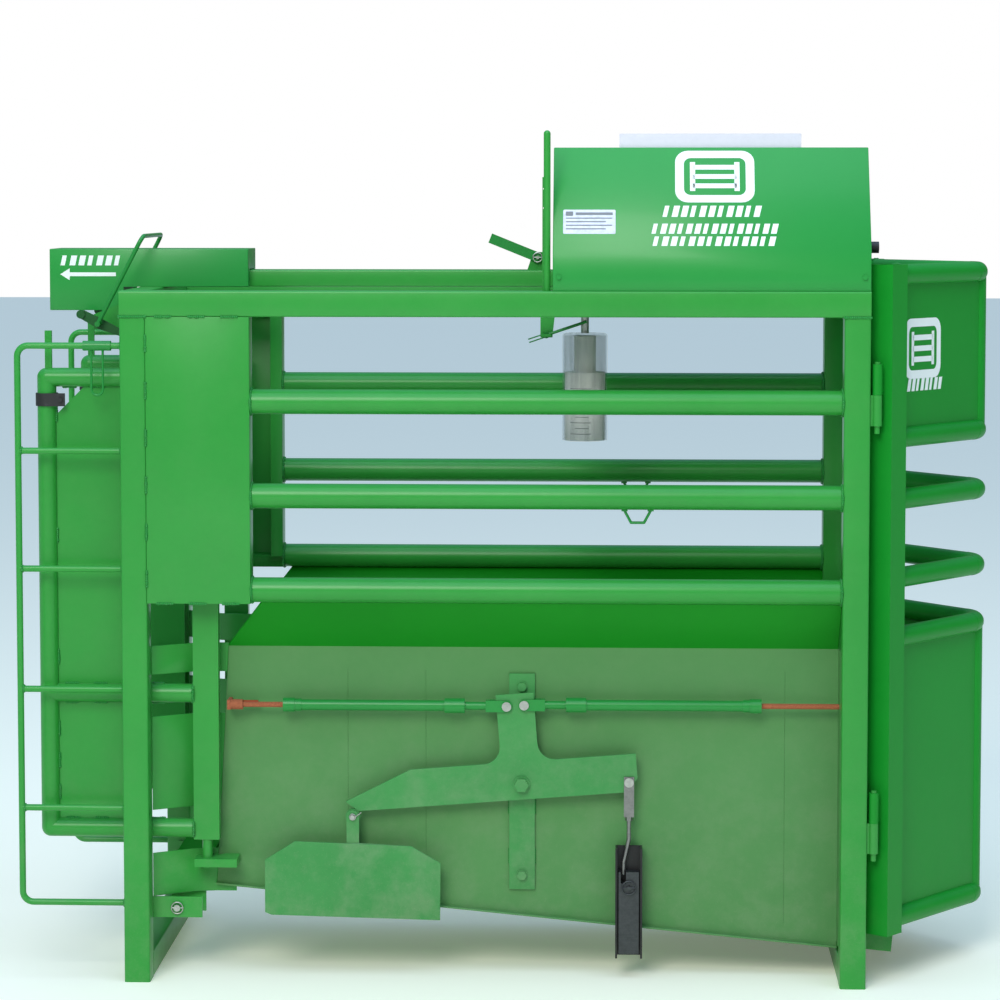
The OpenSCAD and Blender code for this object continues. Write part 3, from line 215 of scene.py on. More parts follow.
class EffectGroups:
    """Shader node groups that several finishes share, each built once."""

    def __init__(self) -> None:
        """Builds every group."""
        self.weathering = self._weathering()
        self.sprayed = self._sprayed()
        self.rust = self._rust()
        self.streaks = self._streaks()

    @staticmethod
    def _group(name: str, inputs: Sequence[tuple[str, str, object]], outputs: Sequence[tuple[str, str]]
               ) -> tuple[Wiring, bpy.types.NodeOutputs, bpy.types.Node]:
        """Opens a group tree.

        Args:
            name: The group's name.
            inputs: Name, socket type and default of each input.
            outputs: Name and socket type of each output.

        Returns:
            Its wiring, its input node's sockets and its output node.
        """
        tree = bpy.data.node_groups.new(name, "ShaderNodeTree")
        for label, kind, default in inputs:
            tree.interface.new_socket(label, in_out="INPUT", socket_type=kind).default_value = default
        for label, kind in outputs:
            tree.interface.new_socket(label, in_out="OUTPUT", socket_type=kind)
        wiring = Wiring(tree)
        source = wiring.put("NodeGroupInput")
        return wiring, source.outputs, wiring.put("NodeGroupOutput")

    def _weathering(self) -> bpy.types.NodeTree:
        """Uneven colour, plus dust that settles on the lower parts and in patches.

        Returns:
            The group: colour and a mask of the dusty places.
        """
        w, given, result = self._group(
            "weathering",
            [("Colour", "NodeSocketColor", (0.1, 0.4, 0.1, 1)),
             ("Shade", "NodeSocketColor", (0.05, 0.3, 0.08, 1)),
             ("Dust Colour", "NodeSocketColor", (0.4, 0.4, 0.33, 1)), ("Unevenness", "NodeSocketFloat", 0.5),
             ("Dust", "NodeSocketFloat", 0.3), ("Dust Top", "NodeSocketFloat", 0.7)],
            [("Colour", "NodeSocketColor"), ("Dust", "NodeSocketFloat")])
        where = w.put("ShaderNodeTexCoord").outputs["Object"]
        height = w.put("ShaderNodeSeparateXYZ", {0: where}).outputs[2]
        broad = w.band(w.noise(where, 1.7, 4.0), 0.3, 0.72)
        fine = w.band(w.noise(where, 46.0, 5.0, 0.65), 0.25, 0.85)
        mottle = w.math("ADD", w.math("MULTIPLY", broad, 0.72), w.math("MULTIPLY", fine, 0.28))
        body = w.mix(w.math("MULTIPLY", mottle, given["Unevenness"], True), given["Colour"], given["Shade"])
        low = w.band(height, given["Dust Top"], 0.0)
        patches = w.band(w.noise(where, 9.0, 6.0, 0.7), 0.36, 0.75)
        specks = w.band(w.noise(where, 210.0, 2.0), 0.6, 0.72)
        settle = w.math("ADD", w.math("MULTIPLY", patches, 0.8), w.math("MULTIPLY", specks, 0.35))
        reach = w.math("ADD", w.math("MULTIPLY", low, 0.85), 0.15)
        dust = w.math("MULTIPLY", w.math("MULTIPLY", settle, reach), given["Dust"], True)
        w.tree.links.new(w.mix(dust, body, given["Dust Colour"]), result.inputs[0])
        w.tree.links.new(dust, result.inputs[1])
        return w.tree

    def _sprayed(self) -> bpy.types.NodeTree:
        """Orange peel of a sprayed coat and the slow waves of the sheet under it.

        Returns:
            The group: one height for a Bump node, in metres.
        """
        w, given, result = self._group(
            "sprayed_coat",
            [("Peel", "NodeSocketFloat", 0.00002), ("Waves", "NodeSocketFloat", 0.0004)],
            [("Height", "NodeSocketFloat")])
        where = w.put("ShaderNodeTexCoord").outputs["Object"]
        peel = w.math("MULTIPLY", w.noise(where, 420.0, 2.0), given["Peel"])
        waves = w.math("MULTIPLY", w.noise(where, 5.5, 1.5), given["Waves"])
        w.tree.links.new(w.math("ADD", peel, waves), result.inputs[0])
        return w.tree

    def _rust(self) -> bpy.types.NodeTree:
        """Rust in blotches with brown hearts and orange rims.

        Returns:
            The group: the rust colour, its mask and its height.
        """
        w, given, result = self._group(
            "rust_bloom",
            [("Cover", "NodeSocketFloat", 0.5), ("Scale", "NodeSocketFloat", 40.0)],
            [("Colour", "NodeSocketColor"), ("Mask", "NodeSocketFloat"), ("Height", "NodeSocketFloat")])
        where = w.put("ShaderNodeTexCoord").outputs["Object"]
        blotch = w.put("ShaderNodeTexNoise", {"Vector": where, "Scale": given["Scale"], "Detail": 8.0,
                                              "Roughness": 0.7}).outputs[0]
        edge = w.math("SUBTRACT", 0.86, w.math("MULTIPLY", given["Cover"], 0.62))
        mask = w.band(blotch, edge, w.math("ADD", edge, 0.1))
        grain = w.noise(where, 520.0, 4.0, 0.7)
        tone = w.mix(w.band(grain, 0.32, 0.7), srgb(122, 62, 38), srgb(196, 112, 74))
        w.tree.links.new(tone, result.inputs[0])
        w.tree.links.new(mask, result.inputs[1])
        w.tree.links.new(w.math("MULTIPLY", w.math("MULTIPLY", grain, mask), 0.0004), result.inputs[2])
        return w.tree

    def _streaks(self) -> bpy.types.NodeTree:
        """Long thin marks along one direction, as on drawn or brushed metal.

        Returns:
            The group: a value about 0.5 in the middle.
        """
        w, given, result = self._group(
            "drawn_streaks",
            [("Stretch", "NodeSocketVector", (1, 1, 1)), ("Scale", "NodeSocketFloat", 300.0)],
            [("Value", "NodeSocketFloat")])
        where = w.put("ShaderNodeTexCoord").outputs["Object"]
        drawn = w.put("ShaderNodeVectorMath", {0: where, 1: given["Stretch"]},
                      operation="MULTIPLY").outputs[0]
        marks = w.put("ShaderNodeTexNoise", {"Vector": drawn, "Scale": given["Scale"], "Detail": 4.0,
                                             "Roughness": 0.6}).outputs[0]
        w.tree.links.new(marks, result.inputs[0])
        return w.tree


GROUPS = EffectGroups()


def open_material(name: str) -> tuple[bpy.types.Material, Wiring, bpy.types.Node]:
    """Makes an empty node material.

    Args:
        name: Its name.

    Returns:
        The material, its wiring and its Principled shader.
    """
    material = bpy.data.materials.new(name)
    material.use_nodes = True
    tree = material.node_tree
    tree.nodes.clear()
    wiring = Wiring(tree)
    shader = wiring.put("ShaderNodeBsdfPrincipled")
    wiring.put("ShaderNodeOutputMaterial", {0: shader.outputs[0]})
    return material, wiring, shader


@dataclass(frozen=True)
class Enamel:
    """Sprayed enamel on steel: gloss, orange peel, slow waves, dust low down."""

    name: str
    colour: Colour
    shade: Colour
    roughness: float = 0.33
    unevenness: float = 0.55
    dust: float = 0.22
    dust_top: float = 0.8
    dust_colour: Colour = srgb(150, 160, 130)
    peel: float = 0.00003
    waves: float = 0.0005
    rust: float = 0.0
    coat: float = 0.06
    shine: float = 0.32

    def build(self) -> bpy.types.Material:
        """Returns the finished material."""
        material, w, shader = open_material(self.name)
        aged = w.put("ShaderNodeGroup", node_tree=GROUPS.weathering)
        for label, value in (("Colour", (*self.colour, 1)), ("Shade", (*self.shade, 1)),
                             ("Dust Colour", (*self.dust_colour, 1)), ("Unevenness", self.unevenness),
                             ("Dust", self.dust), ("Dust Top", self.dust_top)):
            aged.inputs[label].default_value = value
        colour = aged.outputs["Colour"]
        rough = w.math("ADD", w.math("MULTIPLY", aged.outputs["Dust"], 0.45), self.roughness, True)
        coat = w.put("ShaderNodeGroup", {"Peel": self.peel, "Waves": self.waves}, node_tree=GROUPS.sprayed)
        height = coat.outputs[0]
        if self.rust:
            bloom = w.put("ShaderNodeGroup", {"Cover": self.rust, "Scale": 55.0}, node_tree=GROUPS.rust)
            colour = w.mix(bloom.outputs["Mask"], colour, bloom.outputs["Colour"])
            rough = w.math("ADD", rough, w.math("MULTIPLY", bloom.outputs["Mask"], 0.4), True)
            height = w.math("ADD", height, bloom.outputs["Height"])
        link = w.tree.links.new
        link(colour, shader.inputs["Base Color"])
        link(rough, shader.inputs["Roughness"])
        shader.inputs["Coat Weight"].default_value = self.coat
        shader.inputs["Coat Roughness"].default_value = 0.12
        shader.inputs["Specular IOR Level"].default_value = self.shine
        bump = w.put("ShaderNodeBump", {"Height": height, "Distance": 1.0, "Strength": 1.0})
        link(bump.outputs[0], shader.inputs["Normal"])
        return material


@dataclass(frozen=True)
class BareMetal:
    """Bare or plated metal with drawn streaks, and rust where it has some."""

    name: str
    colour: Colour
    roughness: float = 0.35
    rust: float = 0.0
    rust_scale: float = 60.0
    drawn: Axis = Axis.X
    metallic: float = 1.0
    mottle: float = 0.55

    def build(self) -> bpy.types.Material:
        """Returns the finished material."""
        material, w, shader = open_material(self.name)
        stretch = [1.0, 1.0, 1.0]
        stretch[self.drawn.value] = 0.04
        marks = w.put("ShaderNodeGroup", {"Stretch": stretch, "Scale": 350.0},
                      node_tree=GROUPS.streaks).outputs[0]
        where = w.put("ShaderNodeTexCoord").outputs["Object"]
        spots = w.band(w.noise(where, 75.0, 5.0, 0.65), 0.3, 0.75)
        dark = tuple(0.62 * c for c in self.colour)
        worn = w.math("ADD", w.math("MULTIPLY", marks, 0.6), spots)
        tone = w.mix(w.math("MULTIPLY", worn, self.mottle, True), self.colour, dark)
        bloom = w.put("ShaderNodeGroup", {"Cover": self.rust, "Scale": self.rust_scale},
                      node_tree=GROUPS.rust)
        share = bloom.outputs["Mask"] if self.rust else 0.0
        link = w.tree.links.new
        link(w.mix(share, tone, bloom.outputs["Colour"]), shader.inputs["Base Color"])
        rough = w.math("ADD", w.math("MULTIPLY", marks, 0.2), self.roughness - 0.1, True)
        if self.rust:
            rough = w.math("ADD", rough, w.math("MULTIPLY", share, 0.4), True)
            link(w.math("SUBTRACT", self.metallic, share, True), shader.inputs["Metallic"])
        else:
            shader.inputs["Metallic"].default_value = self.metallic
        link(rough, shader.inputs["Roughness"])
        height = w.math("ADD", w.math("MULTIPLY", marks, 0.00003), bloom.outputs["Height"])
        link(w.put("ShaderNodeBump", {"Height": height, "Distance": 1.0}).outputs[0], shader.inputs["Normal"])
        return material


@dataclass(frozen=True)
class Moulded:
    """Moulded plastic or rubber with a fine texture and pale scuffs."""

    name: str
    colour: Colour
    roughness: float = 0.5
    grain: float = 0.00008
    scuffs: float = 0.25

    def build(self) -> bpy.types.Material:
        """Returns the finished material."""
        material, w, shader = open_material(self.name)
        where = w.put("ShaderNodeTexCoord").outputs["Object"]
        scuff = w.band(w.noise(where, 38.0, 7.0, 0.75), 0.5, 0.78)
        pale = tuple(min(1.0, 0.6 * c + 0.16) for c in self.colour)
        link = w.tree.links.new
        link(w.mix(w.math("MULTIPLY", scuff, self.scuffs), self.colour, pale), shader.inputs["Base Color"])
        link(w.math("ADD", w.math("MULTIPLY", scuff, 0.2), self.roughness, True), shader.inputs["Roughness"])
        height = w.math("MULTIPLY", w.noise(where, 900.0, 2.0), self.grain)
        link(w.put("ShaderNodeBump", {"Height": height, "Distance": 1.0}).outputs[0], shader.inputs["Normal"])
        return material


@dataclass(frozen=True)
class ClearPlastic:
    """Smoky clear tube that shows what is inside it."""

    name: str
    colour: Colour
    opacity: float

    def build(self) -> bpy.types.Material:
        """Returns the finished material."""
        material, w, shader = open_material(self.name)
        where = w.put("ShaderNodeTexCoord").outputs["Object"]
        drawn = w.put("ShaderNodeVectorMath", {0: where, 1: (1.0, 1.0, 0.05)},
                      operation="MULTIPLY").outputs[0]
        haze = w.band(w.noise(drawn, 60.0, 4.0), 0.3, 0.8)
        dark = tuple(0.75 * c for c in self.colour)
        link = w.tree.links.new
        link(w.mix(haze, self.colour, dark), shader.inputs["Base Color"])
        link(w.math("ADD", w.math("MULTIPLY", haze, 0.16), self.opacity, True), shader.inputs["Alpha"])
        shader.inputs["Roughness"].default_value = 0.12
        shader.inputs["IOR"].default_value = 1.49
        return material


# --- Finishes ---
FRAME_PAINT = Enamel("frame_enamel", srgb(48, 152, 58), srgb(38, 134, 48), waves=0.0004)
SKIRT_PAINT = Enamel("skirt_enamel", srgb(84, 140, 78), srgb(74, 128, 70), roughness=0.5,
                     unevenness=0.6, dust=0.25, dust_top=1.1, waves=0.0012, coat=0.0)
# Painted shade: a darker, deeper green that stands in for the shade on the sloped apron under the rail; the
# floor deck gets it too.
DEEP_SHADE_PAINT = Enamel("deck_painted_shade_enamel", srgb(12, 138, 22), srgb(8, 122, 18), roughness=0.5, dust=0.0,
                     coat=0.0, shine=0.2)
CABINET_PAINT = Enamel("cabinet_enamel", srgb(38, 148, 62), srgb(32, 136, 56), roughness=0.34, unevenness=0.4,
                       dust=0.06, waves=0.0006)
GATE_PAINT = Enamel("gate_enamel", srgb(18, 142, 40), srgb(12, 128, 34), roughness=0.42, dust=0.04,
                    coat=0.0, shine=0.22)
ARM_PAINT = Enamel("linkage_enamel", srgb(64, 146, 74), srgb(46, 122, 58), roughness=0.4,
                   unevenness=0.65, dust=0.42, dust_top=1.3)
SHADED_PAINT = Enamel("latch_enamel", srgb(18, 88, 34), srgb(12, 70, 26), roughness=0.4, dust=0.12, rust=0.1)
ROD_PAINT = Enamel("rubbed_enamel", srgb(34, 140, 58), srgb(24, 116, 46), rust=0.22, dust=0.2)
BLACK_ENAMEL = Enamel("black_enamel", srgb(30, 30, 32), srgb(22, 22, 24), roughness=0.4, dust=0.25,
                      dust_colour=srgb(96, 90, 80), rust=0.15)
WHITE_VINYL = Enamel("white_vinyl", srgb(244, 246, 244), srgb(228, 232, 228), roughness=0.35, dust=0.06,
                     peel=0.0, waves=0.0)
WELD_PAINT = Enamel("weld_enamel", srgb(34, 140, 56), srgb(24, 112, 44), roughness=0.3, peel=0.00004,
                    rust=0.08)
RED_BAND = Enamel("red_primer", srgb(178, 66, 40), srgb(150, 52, 30), roughness=0.5, dust=0.1, rust=0.3)
ZINC_PLATE = BareMetal("zinc_plate", srgb(196, 196, 190), 0.38, rust=0.05)
WORN_STEEL = BareMetal("worn_steel", srgb(150, 148, 146), 0.42, rust=0.2)
RUSTY_ROD = BareMetal("rusty_rod", srgb(168, 120, 96), 0.5, rust=0.92, rust_scale=90.0)
CAST_IRON = BareMetal("cast_iron", srgb(88, 90, 92), 0.55, rust=0.12)
BRIGHT_ALUMINIUM = BareMetal("anodised_aluminium", srgb(228, 226, 238), 0.42, metallic=0.35, mottle=0.1)
DATA_FOIL = BareMetal("data_foil", srgb(206, 206, 214), 0.34, metallic=0.55)
RUBBER = Moulded("black_rubber", srgb(30, 30, 31), 0.62)
BLACK_MOULDED = Moulded("black_moulding", srgb(32, 33, 36), 0.45)
PALE_MOULDED = Moulded("pale_moulding", srgb(236, 234, 230), 0.42, scuffs=0.1)
PRINT_GREY = Moulded("grey_print", srgb(120, 122, 128), 0.5, scuffs=0.1)
CELL_GLASS = Moulded("cell_glass", srgb(18, 24, 48), 0.12, grain=0.0, scuffs=0.05)
SMOKY_TUBE = ClearPlastic("smoky_tube", srgb(150, 156, 152), 0.16)

Finish = Enamel | BareMetal | Moulded | ClearPlastic

NODE_FINISHES: dict[Finish, tuple[str, ...]] = {
    FRAME_PAINT: ("posts", "top_rails", "side_rails", "cross_tubes", "head_panels", "floor_channels",
                  "wing_strips", "leaf_bearings", "guard_ladders", "top_beam", "release_brackets",
                  "gate_leaf_near", "gate_leaf_far", "leaf_sheet_near", "leaf_sheet_far",
                  "floor_brackets", "lever_mast", "hanger_brackets", "gate_hinges"),
    SKIRT_PAINT: ("lower_sides",),
    # The floor deck takes the same darker green of painted shade.
    DEEP_SHADE_PAINT: ("floor_deck",),
    CABINET_PAINT: ("winch_cover", "release_cover", "winch_base", "cover_bolts"),
    GATE_PAINT: ("rear_gate", "gate_sheets"),
    ARM_PAINT: ("bell_crank", "crank_strap", "pedal_plate", "crank_bolts"),
    SHADED_PAINT: ("latch_rocker", "latch_pawl"),
    ROD_PAINT: ("wire_hook", "release_bail", "winch_lever", "strut_left", "strut_right", "trip_fork",
                "rail_rings"),
    BLACK_ENAMEL: ("latch_guide",),
    ZINC_PLATE: ("bracket_pins", "lynch_pin", "crank_pins", "gate_latch", "canister_rod"),
    WORN_STEEL: ("pawl_pin", "winch_drum", "latch_rod"),
    CAST_IRON: ("winch_gearbox", "winch_motor", "latch_tongue"),
    RUSTY_ROD: ("strut_rods",),
    BRIGHT_ALUMINIUM: ("solar_panel",),
    RUBBER: ("leaf_strap_near", "leaf_strap_far"),
    BLACK_MOULDED: ("cable_gland", "winch_battery"),
    SMOKY_TUBE: ("clear_canister",),
    PALE_MOULDED: ("canister_liner",),
}


class PaintShop:
    """Builds each finish once and puts it on nodes and pieces."""

    def __init__(self) -> None:
        """Starts with no finish built."""
        self.built: dict[str, bpy.types.Material] = {}

    def material(self, finish: Finish) -> bpy.types.Material:
        """The material of a finish.

        Args:
            finish: What to build.

        Returns:
            Its material, built on first use.
        """
        if finish.name not in self.built:
            self.built[finish.name] = finish.build()
        return self.built[finish.name]

    def dress(self, thing: bpy.types.Object, finish: Finish) -> None:
        """Puts a finish on all of an object.

        Args:
            thing: The object.
            finish: Its new finish.
        """
        material = self.material(finish)
        if not thing.data.materials:
            thing.data.materials.append(material)
        for spot in thing.material_slots:
            spot.material = material


SHOP = PaintShop()


@dataclass(frozen=True)
class Box:
    """Lowest and highest corner of something, in metres."""

    low: Vector
    high: Vector

    @classmethod
    def of(cls, node: str) -> "Box":
        """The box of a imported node."""
        low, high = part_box(node)
        return cls(Vector(low), Vector(high))

    @property
    def middle(self) -> Vector:
        """The middle of the box."""
        return (self.low + self.high) / 2

    @property
    def size(self) -> Vector:
        """The sides of the box."""
        return self.high - self.low


def segment(start: Sequence[float], end: Sequence[float]) -> Path:
    """A straight path from start to end."""
    return [Vector(start), Vector(end)]


def ring(centre: Sequence[float], normal: Sequence[float], radius: float, count: int = 28) -> Path:
    """A closed round path.

    Args:
        centre: Its centre.
        normal: The direction it faces.
        radius: Its radius.
        count: Corners.

    Returns:
        The points, the first one again at the end.
    """
    turn = Vector(normal).to_track_quat("Z", "Y")
    points = []
    for i in range(count + 1):
        angle = math.tau * i / count
        points.append(Vector(centre) + turn @ Vector((radius * math.cos(angle), radius * math.sin(angle), 0)))
    return points


def frame_round(low: Sequence[float], high: Sequence[float], axis: Axis, at: float) -> Path:
    """A closed rectangle round a square tube.

    Args:
        low: Lowest corner of the tube's box.
        high: Highest corner of the tube's box.
        axis: Direction the tube runs.
        at: Place of the rectangle along that direction.

    Returns:
        Five points.
    """
    a, b = [i for i in range(3) if i != axis.value]
    points = []
    corners = ((low[a], low[b]), (high[a], low[b]), (high[a], high[b]), (low[a], high[b]), (low[a], low[b]))
    for u, v in corners:
        point = Vector()
        point[axis.value], point[a], point[b] = at, u, v
        points.append(point)
    return points


class Maker:
    """Base of every sub-assembly: turns meshes into named pieces on their bodies."""

    def piece(self, name: str, mesh: bpy.types.Mesh, body: str, slot: Slot,
              finish: Finish) -> bpy.types.Object:
        """Adds a finished piece.

        Args:
            name: The piece's name.
            mesh: Its mesh, placed in the shared frame.
            body: The body it moves with.
            slot: Not used.
            finish: What it is covered with.

        Returns:
            The object.
        """
        made = bpy.data.objects.new(name, mesh)
        bpy.context.scene.collection.objects.link(made)
        SHOP.dress(made, finish)
        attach(made, body)
        LOG.info("%s: %d faces on %s", name, len(mesh.polygons), body)
        return made

    def from_bmesh(self, bm: bmesh.types.BMesh, name: str, smooth: float = 0.6) -> bpy.types.Mesh:
        """Closes a bmesh into a mesh with shading that breaks at sharp edges.

        Args:
            bm: The working mesh, freed here.
            name: The mesh's name.
            smooth: Largest angle that is shaded smooth, in radians.

        Returns:
            The mesh.
        """
        bmesh.ops.recalc_face_normals(bm, faces=bm.faces)
        for face in bm.faces:
            face.smooth = True
        for edge in bm.edges:
            edge.smooth = len(edge.link_faces) == 2 and edge.calc_face_angle(0.0) < smooth
        mesh = bpy.data.meshes.new(name)
        bm.to_mesh(mesh)
        bm.free()
        return mesh

    def flat(self, outlines: Iterable[Outline], thickness: float,
             place: Matrix, name: str, rounding: float = 0.0) -> bpy.types.Mesh:
        """Thin solid plates from closed outlines.

        Args:
            outlines: Corners of each outline, in the plate's own plane.
            thickness: Thickness, upwards from the plane.
            place: Where the plane's axes and origin go.
            name: The mesh's name.
            rounding: Width of the bevel on its edges.

        Returns:
            The mesh.
        """
        bm = bmesh.new()
        for outline in outlines:
            corners = [bm.verts.new((x, y, 0.0)) for x, y in outline]
            bottom = bm.faces.new(corners)
            grown = bmesh.ops.extrude_face_region(bm, geom=[bottom])
            raised = [v for v in grown["geom"] if isinstance(v, bmesh.types.BMVert)]
            bmesh.ops.translate(bm, verts=raised, vec=(0, 0, thickness))
        if rounding:
            bmesh.ops.bevel(bm, geom=list(bm.edges), offset=rounding, segments=2, affect="EDGES", profile=0.5)
        bmesh.ops.transform(bm, matrix=place, verts=bm.verts)
        return self.from_bmesh(bm, name)


def rounded_box(width: float, height: float, radius: float, count: int = 6,
                centre: tuple[float, float] = (0.0, 0.0)) -> list[tuple[float, float]]:
    """Outline of a rectangle with round corners.

    Args:
        width: Width.
        height: Height.
        radius: Corner radius.
        count: Steps in each corner.
        centre: Its centre.

    Returns:
        The outline's points, anticlockwise.
    """
    points = []
    for quarter, (sx, sy) in enumerate(((1, 1), (-1, 1), (-1, -1), (1, -1))):
        for i in range(count + 1):
            angle = math.pi / 2 * (quarter + i / count)
            points.append((centre[0] + sx * (width / 2 - radius) + radius * math.cos(angle),
                           centre[1] + sy * (height / 2 - radius) + radius * math.sin(angle)))
    return points


class WeldBead:
    """Laid weld beads: overlapping ripples along paths, built with Geometry Nodes."""

    def __init__(self) -> None:
        """Builds the node tree once."""
        self.tree = bpy.data.node_groups.new("weld_ripples", "GeometryNodeTree")
        make = self.tree.interface.new_socket
        make("Paths", in_out="INPUT", socket_type="NodeSocketGeometry")
        self.inputs: dict[str, str] = {}
        for label, kind, default in (("Pitch", "NodeSocketFloat", 0.006),
                                     ("Radius", "NodeSocketFloat", 0.005),
                                     ("Roughness", "NodeSocketFloat", 0.25),
                                     ("Seed", "NodeSocketInt", 7),
                                     ("Finish", "NodeSocketMaterial", None)):
            socket = make(label, in_out="INPUT", socket_type=kind)
            if default is not None:
                socket.default_value = default
            self.inputs[label] = socket.identifier
        make("Beads", in_out="OUTPUT", socket_type="NodeSocketGeometry")
        w = Wiring(self.tree)
        given = w.put("NodeGroupInput").outputs
        curve = w.put("GeometryNodeMeshToCurve", {0: given["Paths"]})
        even = w.put("GeometryNodeResampleCurve", {"Curve": curve.outputs[0], "Length": given["Pitch"]},
                     mode="LENGTH")
        tangent = w.put("GeometryNodeInputTangent").outputs[0]
        lean = w.put("FunctionNodeAlignRotationToVector", {"Vector": tangent}, axis="Z")
        shrink = w.math("SUBTRACT", 1.0, given["Roughness"])
        grow = w.math("ADD", 1.0, given["Roughness"])
        size = w.put("FunctionNodeRandomValue", {"Min": shrink, "Max": grow, "Seed": given["Seed"]},
                     data_type="FLOAT")
        scaled = w.math("MULTIPLY", size.outputs[1], given["Radius"])
        along = w.math("MULTIPLY", given["Radius"], 0.85)
        form = w.put("ShaderNodeCombineXYZ", {0: scaled, 1: scaled, 2: along})
        drop = w.put("GeometryNodeMeshUVSphere", {"Segments": 8, "Rings": 5, "Radius": 1.0})
        soft = w.put("GeometryNodeSetShadeSmooth", {0: drop.outputs[0]})
        laid = w.put("GeometryNodeInstanceOnPoints", {"Points": even.outputs[0], "Instance": soft.outputs[0],
                                                      "Rotation": lean.outputs[0], "Scale": form.outputs[0]})
        real = w.put("GeometryNodeRealizeInstances", {0: laid.outputs[0]})
        painted = w.put("GeometryNodeSetMaterial", {"Geometry": real.outputs[0], "Material": given["Finish"]})
        w.put("NodeGroupOutput", {0: painted.outputs[0]})

    def lay(self, name: str, paths: Iterable[Path], radius: float, pitch: float, finish: Finish,
            seed: int) -> bpy.types.Mesh:
        """Lays beads along paths.

        Args:
            name: The mesh's name.
            paths: Where the beads run.
            radius: Half the bead's width.
            pitch: Distance between ripples.
            finish: What covers them.
            seed: Seed of their small differences.

        Returns:
            A plain mesh.
        """
        bm = bmesh.new()
        for path in paths:
            corners = [bm.verts.new(p) for p in path]
            for a, b in zip(corners, corners[1:]):
                bm.edges.new((a, b))
        lines = bpy.data.meshes.new(name + "_paths")
        bm.to_mesh(lines)
        bm.free()
        carrier = bpy.data.objects.new(name + "_carrier", lines)
        bpy.context.scene.collection.objects.link(carrier)
        modifier = carrier.modifiers.new("beads", "NODES")
        modifier.node_group = self.tree
        for label, value in (("Pitch", pitch), ("Radius", radius), ("Seed", seed),
                             ("Finish", SHOP.material(finish))):
            modifier[self.inputs[label]] = value
        graph = bpy.context.evaluated_depsgraph_get()
        graph.update()
        mesh = bpy.data.meshes.new_from_object(carrier.evaluated_get(graph), depsgraph=graph)
        mesh.name = name
        carrier.modifiers.remove(modifier)
        bpy.data.objects.remove(carrier)
        return mesh


WELDER = WeldBead()


class RoundedSteel(Maker):
    """Remakes sharp-edged tubes and plates with the round edges that rolled and pressed steel has."""

    def remake(self, node: str, radius: float, shortest: float, segments: int = 2) -> bpy.types.Object:
        """Replaces a node by a copy with rounded outer edges.

        Args:
            node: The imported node.
            radius: Width of the rounding.
            shortest: Edges shorter than this stay sharp.
            segments: Steps across the rounding.

        Returns:
            The new piece.
        """
        source = frame["nodes"][node]
        bm = bmesh.new()
        bm.from_mesh(source.data)
        bmesh.ops.remove_doubles(bm, verts=bm.verts, dist=0.00002)
        bmesh.ops.dissolve_limit(bm, angle_limit=0.01, verts=bm.verts, edges=bm.edges, delimit={"NORMAL"})
        chosen = [e for e in bm.edges if len(e.link_faces) == 2 and e.is_convex and e.calc_length() > shortest
                  and e.calc_face_angle(0.0) > 0.6]
        bmesh.ops.bevel(bm, geom=chosen, offset=radius, segments=segments, profile=0.5, affect="EDGES",
                        clamp_overlap=False)
        bmesh.ops.triangulate(bm, faces=[f for f in bm.faces if len(f.verts) > 4])
        mesh = bpy.data.meshes.new(node + "_rounded")
        for face in bm.faces:
            face.smooth = True
        for edge in bm.edges:
            edge.smooth = len(edge.link_faces) == 2 and edge.calc_face_angle(0.0) < 0.6
        bm.to_mesh(mesh)
        bm.free()
        made = self.piece(node + "_steel", mesh, body_of(source)[0], Slot.GREEN, finish_of(node))
        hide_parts(node)
        return made

    def paint_shade_above(self, piece: bpy.types.Object, above: float, finish: Finish) -> None:
        """Gives the faces above a height another finish: the darker green that paints the apron's shade.

        Args:
            piece: The piece.
            above: The height.
            finish: Their finish.
        """
        piece.data.materials.append(SHOP.material(finish))
        for face in piece.data.polygons:
            face.material_index = 1 if face.center.z > above else 0


def finish_of(node: str) -> Finish:
    """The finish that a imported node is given."""
    for finish, nodes in NODE_FINISHES.items():
        if node in nodes:
            return finish
    raise KeyError(node)


